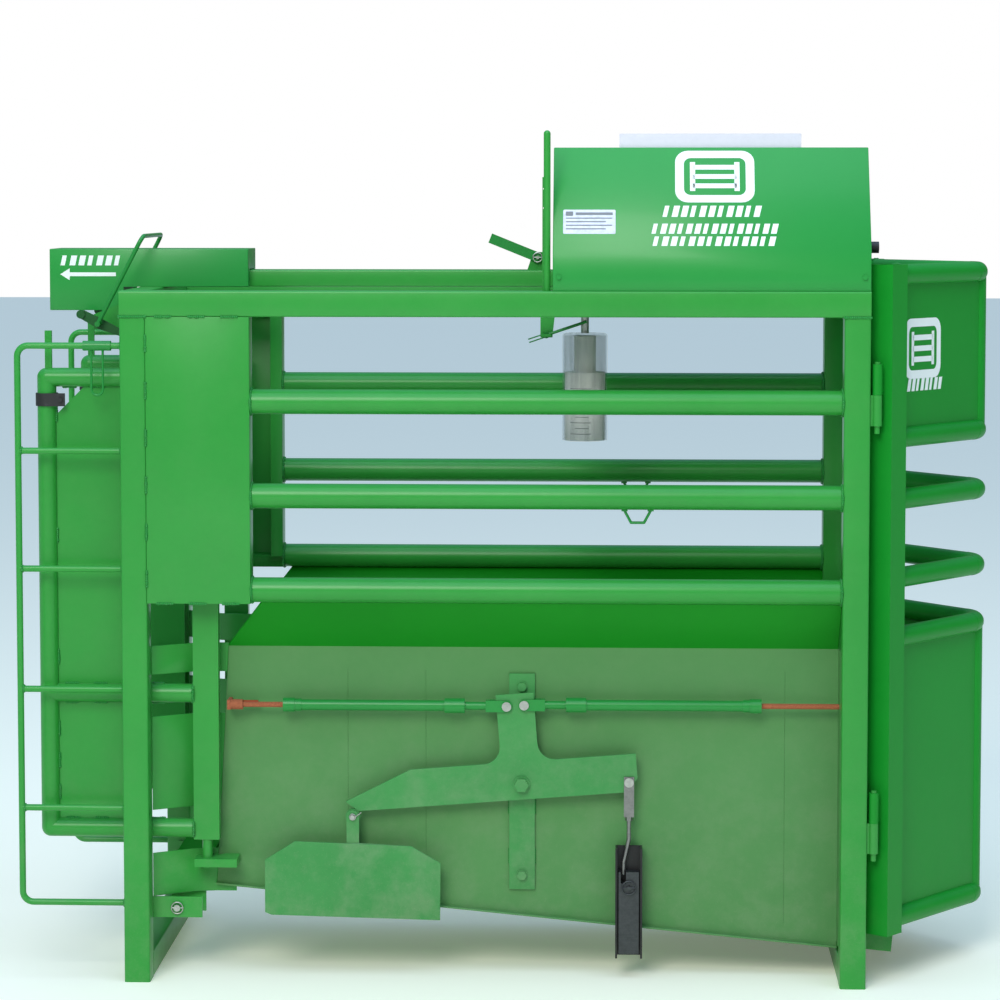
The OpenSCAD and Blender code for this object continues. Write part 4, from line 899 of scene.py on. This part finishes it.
@dataclass
class MainFrame(Maker):
    """The standing frame: posts, rails, panels, lower sides and floor."""

    seams_x: tuple[float, ...] = (-0.477, -0.244, 0.822)
    bead: float = 0.0045
    pitch: float = 0.0055
    stitch: float = 0.045
    guard_rungs_z: tuple[float, ...] = (0.515, 0.869, 1.226, 1.574)
    guard_bar_r: float = 0.0095
    rail_r: float = 0.0365
    seam_y: float = 0.313
    seam_low_tail: float = 0.135
    fold_drop: float = 0.22

    def joints(self) -> list[Path]:
        """Paths of the beads where posts, rails, rungs and floor tubes meet."""
        posts, rails = Box.of("posts"), Box.of("side_rails")
        top = Box.of("top_rails")
        tube = top.size.z
        paths: list[Path] = []
        for x in (posts.low.x, posts.high.x - tube):
            for y in (posts.low.y, posts.high.y - tube):
                low, high = Vector((x, y, 0)), Vector((x + tube, y + tube, 0))
                paths.append(frame_round(low, high, Axis.Z, top.low.z))
        for side in (-1, 1):
            y = side * (rails.high.y - self.rail_r)
            for z in (rails.low.z + self.rail_r, rails.middle.z, rails.high.z - self.rail_r):
                for x, face in ((rails.low.x, -1), (rails.high.x, 1)):
                    paths.append(ring((x - face * 0.002, y, z), (1, 0, 0), self.rail_r + 0.001))
        guard = Box.of("guard_ladders")
        rod = self.guard_bar_r
        for side in (-1, 1):
            y = side * (guard.high.y - rod)
            for z in (*self.guard_rungs_z, guard.low.z + rod, guard.high.z - rod):
                paths.append(ring((posts.low.x - 0.001, y, z), (1, 0, 0), rod, 12))
            for z in self.guard_rungs_z:
                paths.append(ring((guard.low.x + 2 * rod, y, z), (1, 0, 0), rod * 0.9, 12))
        return paths

    def stitches(self) -> list[Path]:
        """Short welds along the edges of the head panels."""
        panel = Box.of("head_panels")
        paths: list[Path] = []
        for side in (-1, 1):
            y = side * panel.high.y
            for k in range(6):
                z = panel.low.z + 0.05 + k * (panel.size.z - 0.15) / 5
                paths.append(segment((panel.low.x, y, z), (panel.low.x, y, z + self.stitch)))
            for k in range(3):
                x = panel.low.x + 0.03 + k * (panel.size.x - 0.11) / 2
                paths.append(segment((x, y, panel.low.z), (x + self.stitch, y, panel.low.z)))
                paths.append(segment((x, y, panel.high.z), (x + self.stitch, y, panel.high.z)))
        return paths

    def seams(self) -> list[Path]:
        """Thin upright seams where the skirt's sheets are joined."""
        skirt = Box.of("lower_sides")
        floor = Box.of("floor_channels")
        paths: list[Path] = []
        for side in (-1, 1):
            y = side * self.seam_y
            for x in self.seams_x:
                share = (x - skirt.low.x) / skirt.size.x
                low = floor.high.z * (1 - share) + self.seam_low_tail * share
                paths.append(segment((x, y, low), (x, y, skirt.high.z - self.fold_drop)))
        return paths

    def make(self) -> None:
        """Lays the frame's welds and the skirt's seams."""
        mesh = WELDER.lay("frame_joint_beads", self.joints(), self.bead, self.pitch, WELD_PAINT, 11)
        self.piece("frame_joint_beads", mesh, "frame", Slot.GREEN, WELD_PAINT)
        mesh = WELDER.lay("panel_stitch_beads", self.stitches(), self.bead, self.pitch, WELD_PAINT, 12)
        self.piece("panel_stitch_beads", mesh, "frame", Slot.GREEN, WELD_PAINT)
        mesh = WELDER.lay("skirt_seams", self.seams(), 0.0012, 0.0030, SKIRT_PAINT, 13)
        self.piece("skirt_seams", mesh, "frame", Slot.GREEN, SKIRT_PAINT)


@dataclass
class HeadGate(Maker):
    """The two head leaves: welds round their tubes and along their sheets."""

    tube_d: float = 0.056
    pivot_x: float = -0.8935
    bar_w: float = 0.076
    tubes_z: tuple[float, ...] = (0.442, 0.847, 1.786)
    leaf_y: float = 0.364
    sheet_face: float = 0.004

    def make(self) -> None:
        """Lays the welds of both leaves."""
        for side, body, name in ((-1, "near_head_leaf", "near"), (1, "far_head_leaf", "far")):
            leaf = Box.of(f"gate_leaf_{name}")
            y = side * self.leaf_y
            front = leaf.low.x + self.tube_d / 2
            paths: list[Path] = []
            for z in self.tubes_z:
                paths.append(ring((self.pivot_x - self.bar_w / 2, y, z), (1, 0, 0), self.tube_d / 2))
            inner = self.tube_d / 2
            paths.append(ring((front + inner, y, self.tubes_z[1]), (1, 0, 0), inner - 0.004))
            for low, high in ((self.tubes_z[0] + inner, self.tubes_z[1] - inner),
                              (self.tubes_z[1] + inner, self.tubes_z[2] - inner)):
                for k in range(3):
                    z = low + 0.06 + k * (high - low - 0.16) / 2
                    for face in (-1, 1):
                        sheet_y = y + face * self.sheet_face
                        paths.append(segment((front + inner, sheet_y, z), (front + inner, sheet_y, z + 0.04)))
                for k in range(4):
                    x = front + 0.05 + k * 0.085
                    for face in (-1, 1):
                        sheet_y = y + face * self.sheet_face
                        for z in (low, high):
                            paths.append(segment((x, sheet_y, z), (x + 0.035, sheet_y, z)))
            mesh = WELDER.lay(f"{name}_leaf_beads", paths, 0.0045, 0.0055, WELD_PAINT, 21 + side)
            self.piece(f"{name}_leaf_beads", mesh, body, Slot.GREEN, WELD_PAINT)


@dataclass
class Decals(Maker):
    """Draws plain marks: an arrow, a gate sign and rows of dashes."""

    film: float = 0.0006

    def gate_sign(self, width: float) -> list[list[tuple[float, float]]]:
        """Outlines of a sign: a thick round-cornered ring round a small three-railed gate.

        Args:
            width: The sign's width.

        Returns:
            Closed outlines, the ring as two halves so that no outline has a hole.
        """
        high = 0.73 * width
        outer = rounded_box(width, high, 0.22 * high)
        inner = rounded_box(width * 0.78, high * 0.72, 0.12 * high)
        count = len(outer)
        half = count // 2
        shapes = []
        for start, stop in ((0, half), (half, count)):
            around = [outer[i % count] for i in range(start, stop + 1)]
            back = [inner[i % count] for i in range(stop, start - 1, -1)]
            shapes.append(around + back)
        rail, span = 0.045 * high, 0.56 * width
        for level in (-0.18, 0.0, 0.18):
            y = level * high
            shapes.append([(-span / 2, y - rail), (span / 2, y - rail), (span / 2, y + rail),
                           (-span / 2, y + rail)])
        for x in (-span / 2, span / 2):
            shapes.append([(x - rail, -0.28 * high), (x + rail, -0.28 * high), (x + rail, 0.28 * high),
                           (x - rail, 0.28 * high)])
        return shapes

    def dashes(self, width: float, height: float, low: float, count: int) -> list[list[tuple[float, float]]]:
        """A row of slanted dashes that stands in for a line of print.

        Args:
            width: Length of the row.
            height: Height of the dashes.
            low: Lower edge of the row.
            count: Number of dashes.

        Returns:
            The outlines.
        """
        pitch = width / count
        lean = 0.22 * height
        rows = []
        for k in range(count):
            long = pitch * (0.66 if k % 3 else 0.48)
            x = -width / 2 + k * pitch
            top = low + height
            rows.append([(x, low), (x + long, low), (x + long + lean, top), (x + lean, top)])
        return rows

    def arrow(self, length: float, width: float) -> list[list[tuple[float, float]]]:
        """An arrow that points to the left.

        Args:
            length: Its length.
            width: Width of its head.

        Returns:
            One outline.
        """
        head, shaft = width * 0.8, width * 0.16
        neck = -length / 2 + head
        return [[(-length / 2, 0), (neck, -width / 2), (neck, -shaft), (length / 2, -shaft),
                 (length / 2, shaft), (neck, shaft), (neck, width / 2)]]

    def stick(self, name: str, shapes: Iterable[Outline], place: Matrix, body: str,
              slot: Slot, finish: Finish) -> None:
        """Puts thin marks on a surface.

        Args:
            name: The piece's name.
            shapes: Their outlines.
            place: The surface's axes and origin.
            body: The body under it.
            slot: The slot of the record.
            finish: Their finish.
        """
        self.piece(name, self.flat(shapes, self.film, place, name), body, slot, finish)


def placed(origin: Sequence[float], right: Sequence[float], up: Sequence[float]) -> Matrix:
    """A matrix that lays a flat drawing on a surface.

    Args:
        origin: Where the drawing's middle goes.
        right: The drawing's X direction.
        up: The drawing's Y direction.

    Returns:
        The matrix; the drawing's Z points out of the surface.
    """
    x, y = Vector(right).normalized(), Vector(up).normalized()
    z = x.cross(y)
    return Matrix.Translation(Vector(origin)) @ Matrix((x, y, z)).transposed().to_4x4()


@dataclass
class ReleaseGear(Decals):
    """Release housing over the head, with its arrow."""

    arrow_at: tuple[float, float] = (-1.283, 2.083)
    row_at: tuple[float, float] = (-1.272, 2.110)

    def make(self) -> None:
        """Sticks the arrow and its row of dashes on both sides of the housing."""
        cover = Box.of("release_cover")
        for side, name in ((-1, "near"), (1, "far")):
            y = cover.low.y if side < 0 else cover.high.y
            right = (-side, 0, 0)
            shapes = self.arrow(0.17, 0.036)
            if side > 0:
                shapes = [[(-x, z) for x, z in outline][::-1] for outline in shapes]
            arrow_place = placed((self.arrow_at[0], y, self.arrow_at[1]), right, (0, 0, 1))
            self.stick(f"release_arrow_{name}", shapes, arrow_place, "frame", Slot.PALE, WHITE_VINYL)
            row_place = placed((self.row_at[0], y, self.row_at[1]), right, (0, 0, 1))
            self.stick(f"release_dashes_{name}", self.dashes(0.19, 0.03, 0.0, 7), row_place, "frame",
                       Slot.PALE, WHITE_VINYL)


@dataclass
class WinchCabinet(Decals):
    """The winch's cabinet: sign and data plate on its slope, cells in the panel on its roof."""

    fold: float = 0.120
    slope_run: float = 0.15
    sign_x: float = 0.606
    plate_x: float = 0.241

    def make(self) -> None:
        """Sticks the signs and fills the panel."""
        cover = Box.of("winch_cover")
        foot = Vector((0, cover.low.y, cover.low.z + self.fold))
        crest = Vector((0, cover.low.y + self.slope_run, cover.high.z))
        up = (crest - foot).normalized()
        rise = (crest - foot).length

        def on_slope(x: float, share: float) -> Matrix:
            """A drawing's place on the slope, share of the way up it."""
            spot = foot + up * rise * share
            return placed((x, spot.y, spot.z), (1, 0, 0), up)

        self.stick("cabinet_sign", self.gate_sign(0.231), on_slope(self.sign_x, 0.7125), "frame", Slot.PALE,
                   WHITE_VINYL)
        for label, off, width, height, low, count in (("1", -0.008, 0.29, 0.036, 0.318, 11),
                                                      ("2", 0.0, 0.37, 0.032, 0.155, 15),
                                                      ("3", -0.002, 0.36, 0.030, 0.037, 14)):
            self.stick(f"cabinet_row_{label}", self.dashes(width, height, 0.0, count),
                       on_slope(self.sign_x + off, low), "frame", Slot.PALE, WHITE_VINYL)
        plate = on_slope(self.plate_x, 0.27)
        self.stick("data_plate", [rounded_box(0.152, 0.078, 0.004)], plate, "frame", Slot.ALUMINIUM,
                   DATA_FOIL)
        lift = plate @ Matrix.Translation((0, 0, self.film))
        rows = [[(-0.04, 0.022), (0.068, 0.022), (0.068, 0.030), (-0.04, 0.030)],
                rounded_box(0.022, 0.014, 0.003, 4, (-0.058, 0.026))]
        for k in range(4):
            y = 0.010 - 0.0115 * k
            rows.append([(-0.068, y), (0.066 - 0.018 * (k % 2), y), (0.066 - 0.018 * (k % 2), y + 0.0032),
                         (-0.068, y + 0.0032)])
        self.stick("data_plate_print", rows, lift, "frame", Slot.PALE, PRINT_GREY)
        self.cells()

    def cells(self) -> None:
        """Lays the dark cells and their silver grid in the roof panel."""
        panel = Box.of("solar_panel")
        rim, across, along = 0.012, 9, 4
        top = panel.high.z - 0.003
        width, depth = panel.size.x - 2 * rim, panel.size.y - 2 * rim
        shapes, wires = [], []
        step_x, step_y = width / across, depth / along
        for i in range(across):
            for j in range(along):
                centre = (-width / 2 + (i + 0.5) * step_x, -depth / 2 + (j + 0.5) * step_y)
                shapes.append(rounded_box(step_x - 0.004, step_y - 0.004, 0.006, 2, centre))
            for off in (-0.25, 0.25):
                x = -width / 2 + (i + 0.5 + off) * step_x
                wires.append([(x - 0.0006, -depth / 2 + 0.004), (x + 0.0006, -depth / 2 + 0.004),
                              (x + 0.0006, depth / 2 - 0.004), (x - 0.0006, depth / 2 - 0.004)])
        place = placed((panel.middle.x, panel.middle.y, top), (1, 0, 0), (0, 1, 0))
        self.stick("panel_cells", shapes, place, "frame", Slot.BLACK_PLASTIC, CELL_GLASS)
        raised = place @ Matrix.Translation((0, 0, self.film))
        self.stick("panel_wires", wires, raised, "frame", Slot.ALUMINIUM, BRIGHT_ALUMINIUM)


@dataclass
class Canister(Decals):
    """Graduation marks round the sleeve that stands in the clear canister."""

    marks: int = 9

    def make(self) -> None:
        """Prints the marks on the sleeve."""
        sleeve = Box.of("canister_liner")
        middle, radius = sleeve.middle, sleeve.size.x / 2 + 0.0004
        bm = bmesh.new()
        for k in range(self.marks):
            z = sleeve.low.z + 0.02 + k * 0.017
            reach = 0.5 if k % 2 else 0.8
            self.band(bm, middle, radius, z, 0.0022, -math.pi / 2 - reach, -math.pi / 2 + reach * 0.4)
        self.piece("sleeve_print", self.from_bmesh(bm, "sleeve_print"), "canister", Slot.PALE, PRINT_GREY)

    def band(self, bm: bmesh.types.BMesh, middle: Vector, radius: float, low: float, height: float,
             start: float, stop: float) -> None:
        """Adds a thin curved band that stands on a round surface.

        Args:
            bm: The working mesh.
            middle: A point on the axis.
            radius: Radius of the surface.
            low: Lower edge.
            height: Height.
            start: First angle.
            stop: Last angle.
        """
        steps, rows = 12, []
        for k in range(steps + 1):
            angle = start + (stop - start) * k / steps
            ray = Vector((math.cos(angle), math.sin(angle), 0))
            rows.append([bm.verts.new(Vector((middle.x, middle.y, z)) + ray * r)
                         for r, z in ((radius, low), (radius + 0.0005, low), (radius + 0.0005, low + height),
                                      (radius, low + height))])
        for a, b in zip(rows, rows[1:]):
            for i in range(4):
                bm.faces.new((a[i], b[i], b[(i + 1) % 4], a[(i + 1) % 4]))
        bm.faces.new(rows[0][::-1])
        bm.faces.new(rows[-1])


@dataclass
class SqueezeLinkage(Maker):
    """The side linkage: a red band on the strut rods and welds beside the crank strap."""

    band_from: float = 0.045
    band_l: float = 0.045
    band_r: float = 0.0102

    def make(self) -> None:
        """Adds the band and the strap's welds."""
        rods = Box.of("strut_rods")
        bm = bmesh.new()
        start = Vector((rods.low.x + self.band_from, rods.middle.y, rods.middle.z))
        self.sleeve(bm, start, self.band_l, self.band_r)
        self.piece("red_band", self.from_bmesh(bm, "red_band"), "frame", Slot.RUSTY, RED_BAND)
        strap = Box.of("crank_strap")
        paths: list[Path] = []
        for x in (strap.low.x, strap.high.x):
            for k in range(4):
                low = strap.low.z + 0.08 + k * 0.15
                paths.append(segment((x, strap.high.y - 0.003, low), (x, strap.high.y - 0.003, low + 0.04)))
        mesh = WELDER.lay("strap_beads", paths, 0.0035, 0.0045, WELD_PAINT, 31)
        self.piece("strap_beads", mesh, "frame", Slot.GREEN, WELD_PAINT)

    def sleeve(self, bm: bmesh.types.BMesh, start: Vector, length: float, radius: float) -> None:
        """Adds a round collar along X with turned-down ends.

        Args:
            bm: The working mesh.
            start: Middle of its first end.
            length: Its length.
            radius: Its radius.
        """
        profile = ((0.0, radius * 0.9), (0.0015, radius), (length - 0.0015, radius), (length, radius * 0.9))
        count, rows = 24, []
        for x, r in profile:
            turns = [math.tau * k / count for k in range(count)]
            rows.append([bm.verts.new(start + Vector((x, r * math.cos(a), r * math.sin(a)))) for a in turns])
        for a, b in zip(rows, rows[1:]):
            for k in range(count):
                bm.faces.new((a[k], b[k], b[(k + 1) % count], a[(k + 1) % count]))
        bm.faces.new(rows[0])
        bm.faces.new(rows[-1][::-1])


@dataclass
class RearGate(Decals):
    """The rear gate: welds where its tubes meet its posts, and a sign on each upper sheet."""

    tubes_z: tuple[float, ...] = (0.190, 1.026, 1.201, 1.432, 1.614, 2.092)
    post: tuple[float, float] = (1.1125, -0.398)
    bend_r: float = 0.075
    tube_d: float = 0.060
    post_w: float = 0.076
    sign_z: float = 1.872
    sign_reach: float = 0.175
    sheet_face: float = 0.0021
    sign_stretch: float = 1.28
    row_drop: float = 0.125

    def direction(self, side: int) -> Vector:
        """The way one half's tubes run, away from its post."""
        gate = Box.of("rear_gate")
        centre_x = gate.high.x - self.tube_d / 2 - self.bend_r
        away = Vector((centre_x - self.post[0], -self.post[1]))
        angle = math.atan2(away.y, away.x) - math.asin(self.bend_r / away.length)
        return Vector((math.cos(angle), -side * math.sin(angle), 0))

    def make(self) -> None:
        """Lays the welds and sticks the signs."""
        paths: list[Path] = []
        for side in (-1, 1):
            way = self.direction(side)
            origin = Vector((self.post[0], side * abs(self.post[1]), 0))
            for z in self.tubes_z:
                start = origin + way * (self.post_w / 2) + Vector((0, 0, z))
                paths.append(ring(start, way, self.tube_d / 2, 28))
        mesh = WELDER.lay("gate_beads", paths, 0.0045, 0.0055, WELD_PAINT, 41)
        self.piece("gate_beads", mesh, "gate", Slot.GREEN, WELD_PAINT)
        for side, name in ((-1, "near"), (1, "far")):
            way = self.direction(side)
            out = Vector((-side * way.y, side * way.x, 0))
            post = Vector((self.post[0], side * abs(self.post[1]), self.sign_z))
            spot = post + way * self.sign_reach + out * self.sheet_face
            right = Vector((0, 0, 1)).cross(out)
            place = placed(spot, right, (0, 0, 1))
            sign = [[(x, y * self.sign_stretch) for x, y in shape] for shape in self.gate_sign(0.19)]
            self.stick(f"gate_sign_{name}", sign, place, "gate", Slot.PALE, WHITE_VINYL)
            under = placed(spot - Vector((0, 0, self.row_drop)), right, (0, 0, 1))
            self.stick(f"gate_row_{name}", self.dashes(0.21, 0.036, 0.0, 9), under, "gate", Slot.PALE,
                       WHITE_VINYL)


@dataclass
class Studio:
    """Pale floor, soft light and the camera."""

    focal: float = 109.14
    eye: tuple[float, float, float] = (0.328, -9.248, 2.320)
    pitch: float = 4.0
    yaw: float = 2.25
    shift_y: float = -0.092
    horizon: Colour = (0.17, 0.20, 0.15)
    zenith: Colour = (0.36, 0.58, 0.92)
    ground: Colour = (0.94, 0.90, 0.74)
    glow: float = 0.16
    glow_colour: Colour = (1.0, 0.98, 0.90)

    def camera(self) -> None:
        """Adds the camera."""
        data = bpy.data.cameras.new("view")
        data.lens, data.sensor_width, data.shift_y = self.focal, 36.0, self.shift_y
        eye = bpy.data.objects.new("view", data)
        eye.location = self.eye
        eye.rotation_euler = (math.radians(90 - self.pitch), 0, math.radians(self.yaw))
        bpy.context.scene.collection.objects.link(eye)
        bpy.context.scene.camera = eye

    def floor(self) -> None:
        """Adds the pale floor."""
        bm = bmesh.new()
        bmesh.ops.create_grid(bm, x_segments=1, y_segments=1, size=60.0)
        mesh = bpy.data.meshes.new("floor")
        bm.to_mesh(mesh)
        bm.free()
        floor = bpy.data.objects.new("floor", mesh)
        bpy.context.scene.collection.objects.link(floor)
        material, _, shader = open_material("pale_floor")
        shader.inputs["Base Color"].default_value = (*self.ground, 1)
        shader.inputs["Roughness"].default_value = 0.9
        shader.inputs["Emission Color"].default_value = (*self.glow_colour, 1)
        shader.inputs["Emission Strength"].default_value = self.glow
        floor.data.materials.append(material)

    def lamp(self, name: str, place: Sequence[float], aim: Sequence[float], size: float, power: float,
             colour: Colour) -> None:
        """Adds a soft area light.

        Args:
            name: Its name.
            place: Where it stands.
            aim: What it points at.
            size: Its side.
            power: Its power in watts.
            colour: Its colour.
        """
        data = bpy.data.lights.new(name, "AREA")
        data.energy, data.size, data.color = power, size, colour
        lamp = bpy.data.objects.new(name, data)
        lamp.location = place
        lamp.rotation_euler = (Vector(aim) - Vector(place)).to_track_quat("-Z", "Y").to_euler()
        bpy.context.scene.collection.objects.link(lamp)

    def world(self) -> None:
        """Adds a surround that is white to look at and lights softly, cooler from above."""
        world = bpy.data.worlds.new("surround")
        world.use_nodes = True
        w = Wiring(world.node_tree)
        back = world.node_tree.nodes["Background"]
        way = w.put("ShaderNodeTexCoord").outputs["Generated"]
        rise = w.put("ShaderNodeSeparateXYZ", {0: way}).outputs[2]
        sky = w.mix(w.band(rise, 0.12, 0.85), self.horizon, self.zenith)
        seen = w.put("ShaderNodeLightPath").outputs["Is Camera Ray"]
        w.tree.links.new(w.mix(seen, sky, (1.0, 1.0, 1.0)), back.inputs[0])
        bpy.context.scene.world = world

    def make(self) -> None:
        """Sets up the studio."""
        self.camera()
        self.floor()
        self.world()
        self.lamp("sky", (0.5, -2.0, 9.0), (0, 0, 1.0), 8.0, 380, (0.72, 0.88, 1.0))
        self.lamp("front", (-2.5, -10.5, 8.0), (0, 0, 1.0), 5.0, 820, (1.0, 1.0, 0.95))
        bpy.context.scene.view_settings.view_transform = "Standard"


# Node, width of its rounding, shortest edge that is rounded, steps across the rounding
ROUNDED: tuple[tuple[str, float, float, int], ...] = (
    ("posts", 0.006, 0.10, 3), ("top_rails", 0.006, 0.10, 3), ("cross_tubes", 0.005, 0.10, 3),
    ("top_beam", 0.005, 0.10, 3), ("head_panels", 0.0015, 0.05, 2), ("winch_cover", 0.0025, 0.05, 2),
    ("release_cover", 0.0025, 0.05, 2), ("pedal_plate", 0.0015, 0.03, 2), ("crank_strap", 0.0012, 0.03, 2),
    ("wing_strips", 0.0012, 0.05, 1), ("floor_channels", 0.003, 0.10, 2),
)
APRON_SHADE_FROM_Z = 0.984  # the sloped apron starts above this height; its faces get the darker green of painted shade


def main() -> None:
    """Builds the sub-assemblies in order."""
    logging.basicConfig(level=logging.INFO, format="%(message)s")
    Studio().make()
    for finish, nodes in NODE_FINISHES.items():
        for node in nodes:
            SHOP.dress(frame["nodes"][node], finish)
    rounder = RoundedSteel()
    for node, radius, shortest, segments in ROUNDED:
        rounder.remake(node, radius, shortest, segments)
    # The sloped apron's faces get a darker green that paints its shade.
    rounder.paint_shade_above(rounder.remake("lower_sides", 0.0015, 0.10, 1), APRON_SHADE_FROM_Z, DEEP_SHADE_PAINT)
    for part in (MainFrame(), HeadGate(), ReleaseGear(), WinchCabinet(), Canister(), SqueezeLinkage(),
                 RearGate()):
        part.make()


if __name__ == "__main__":
    main()
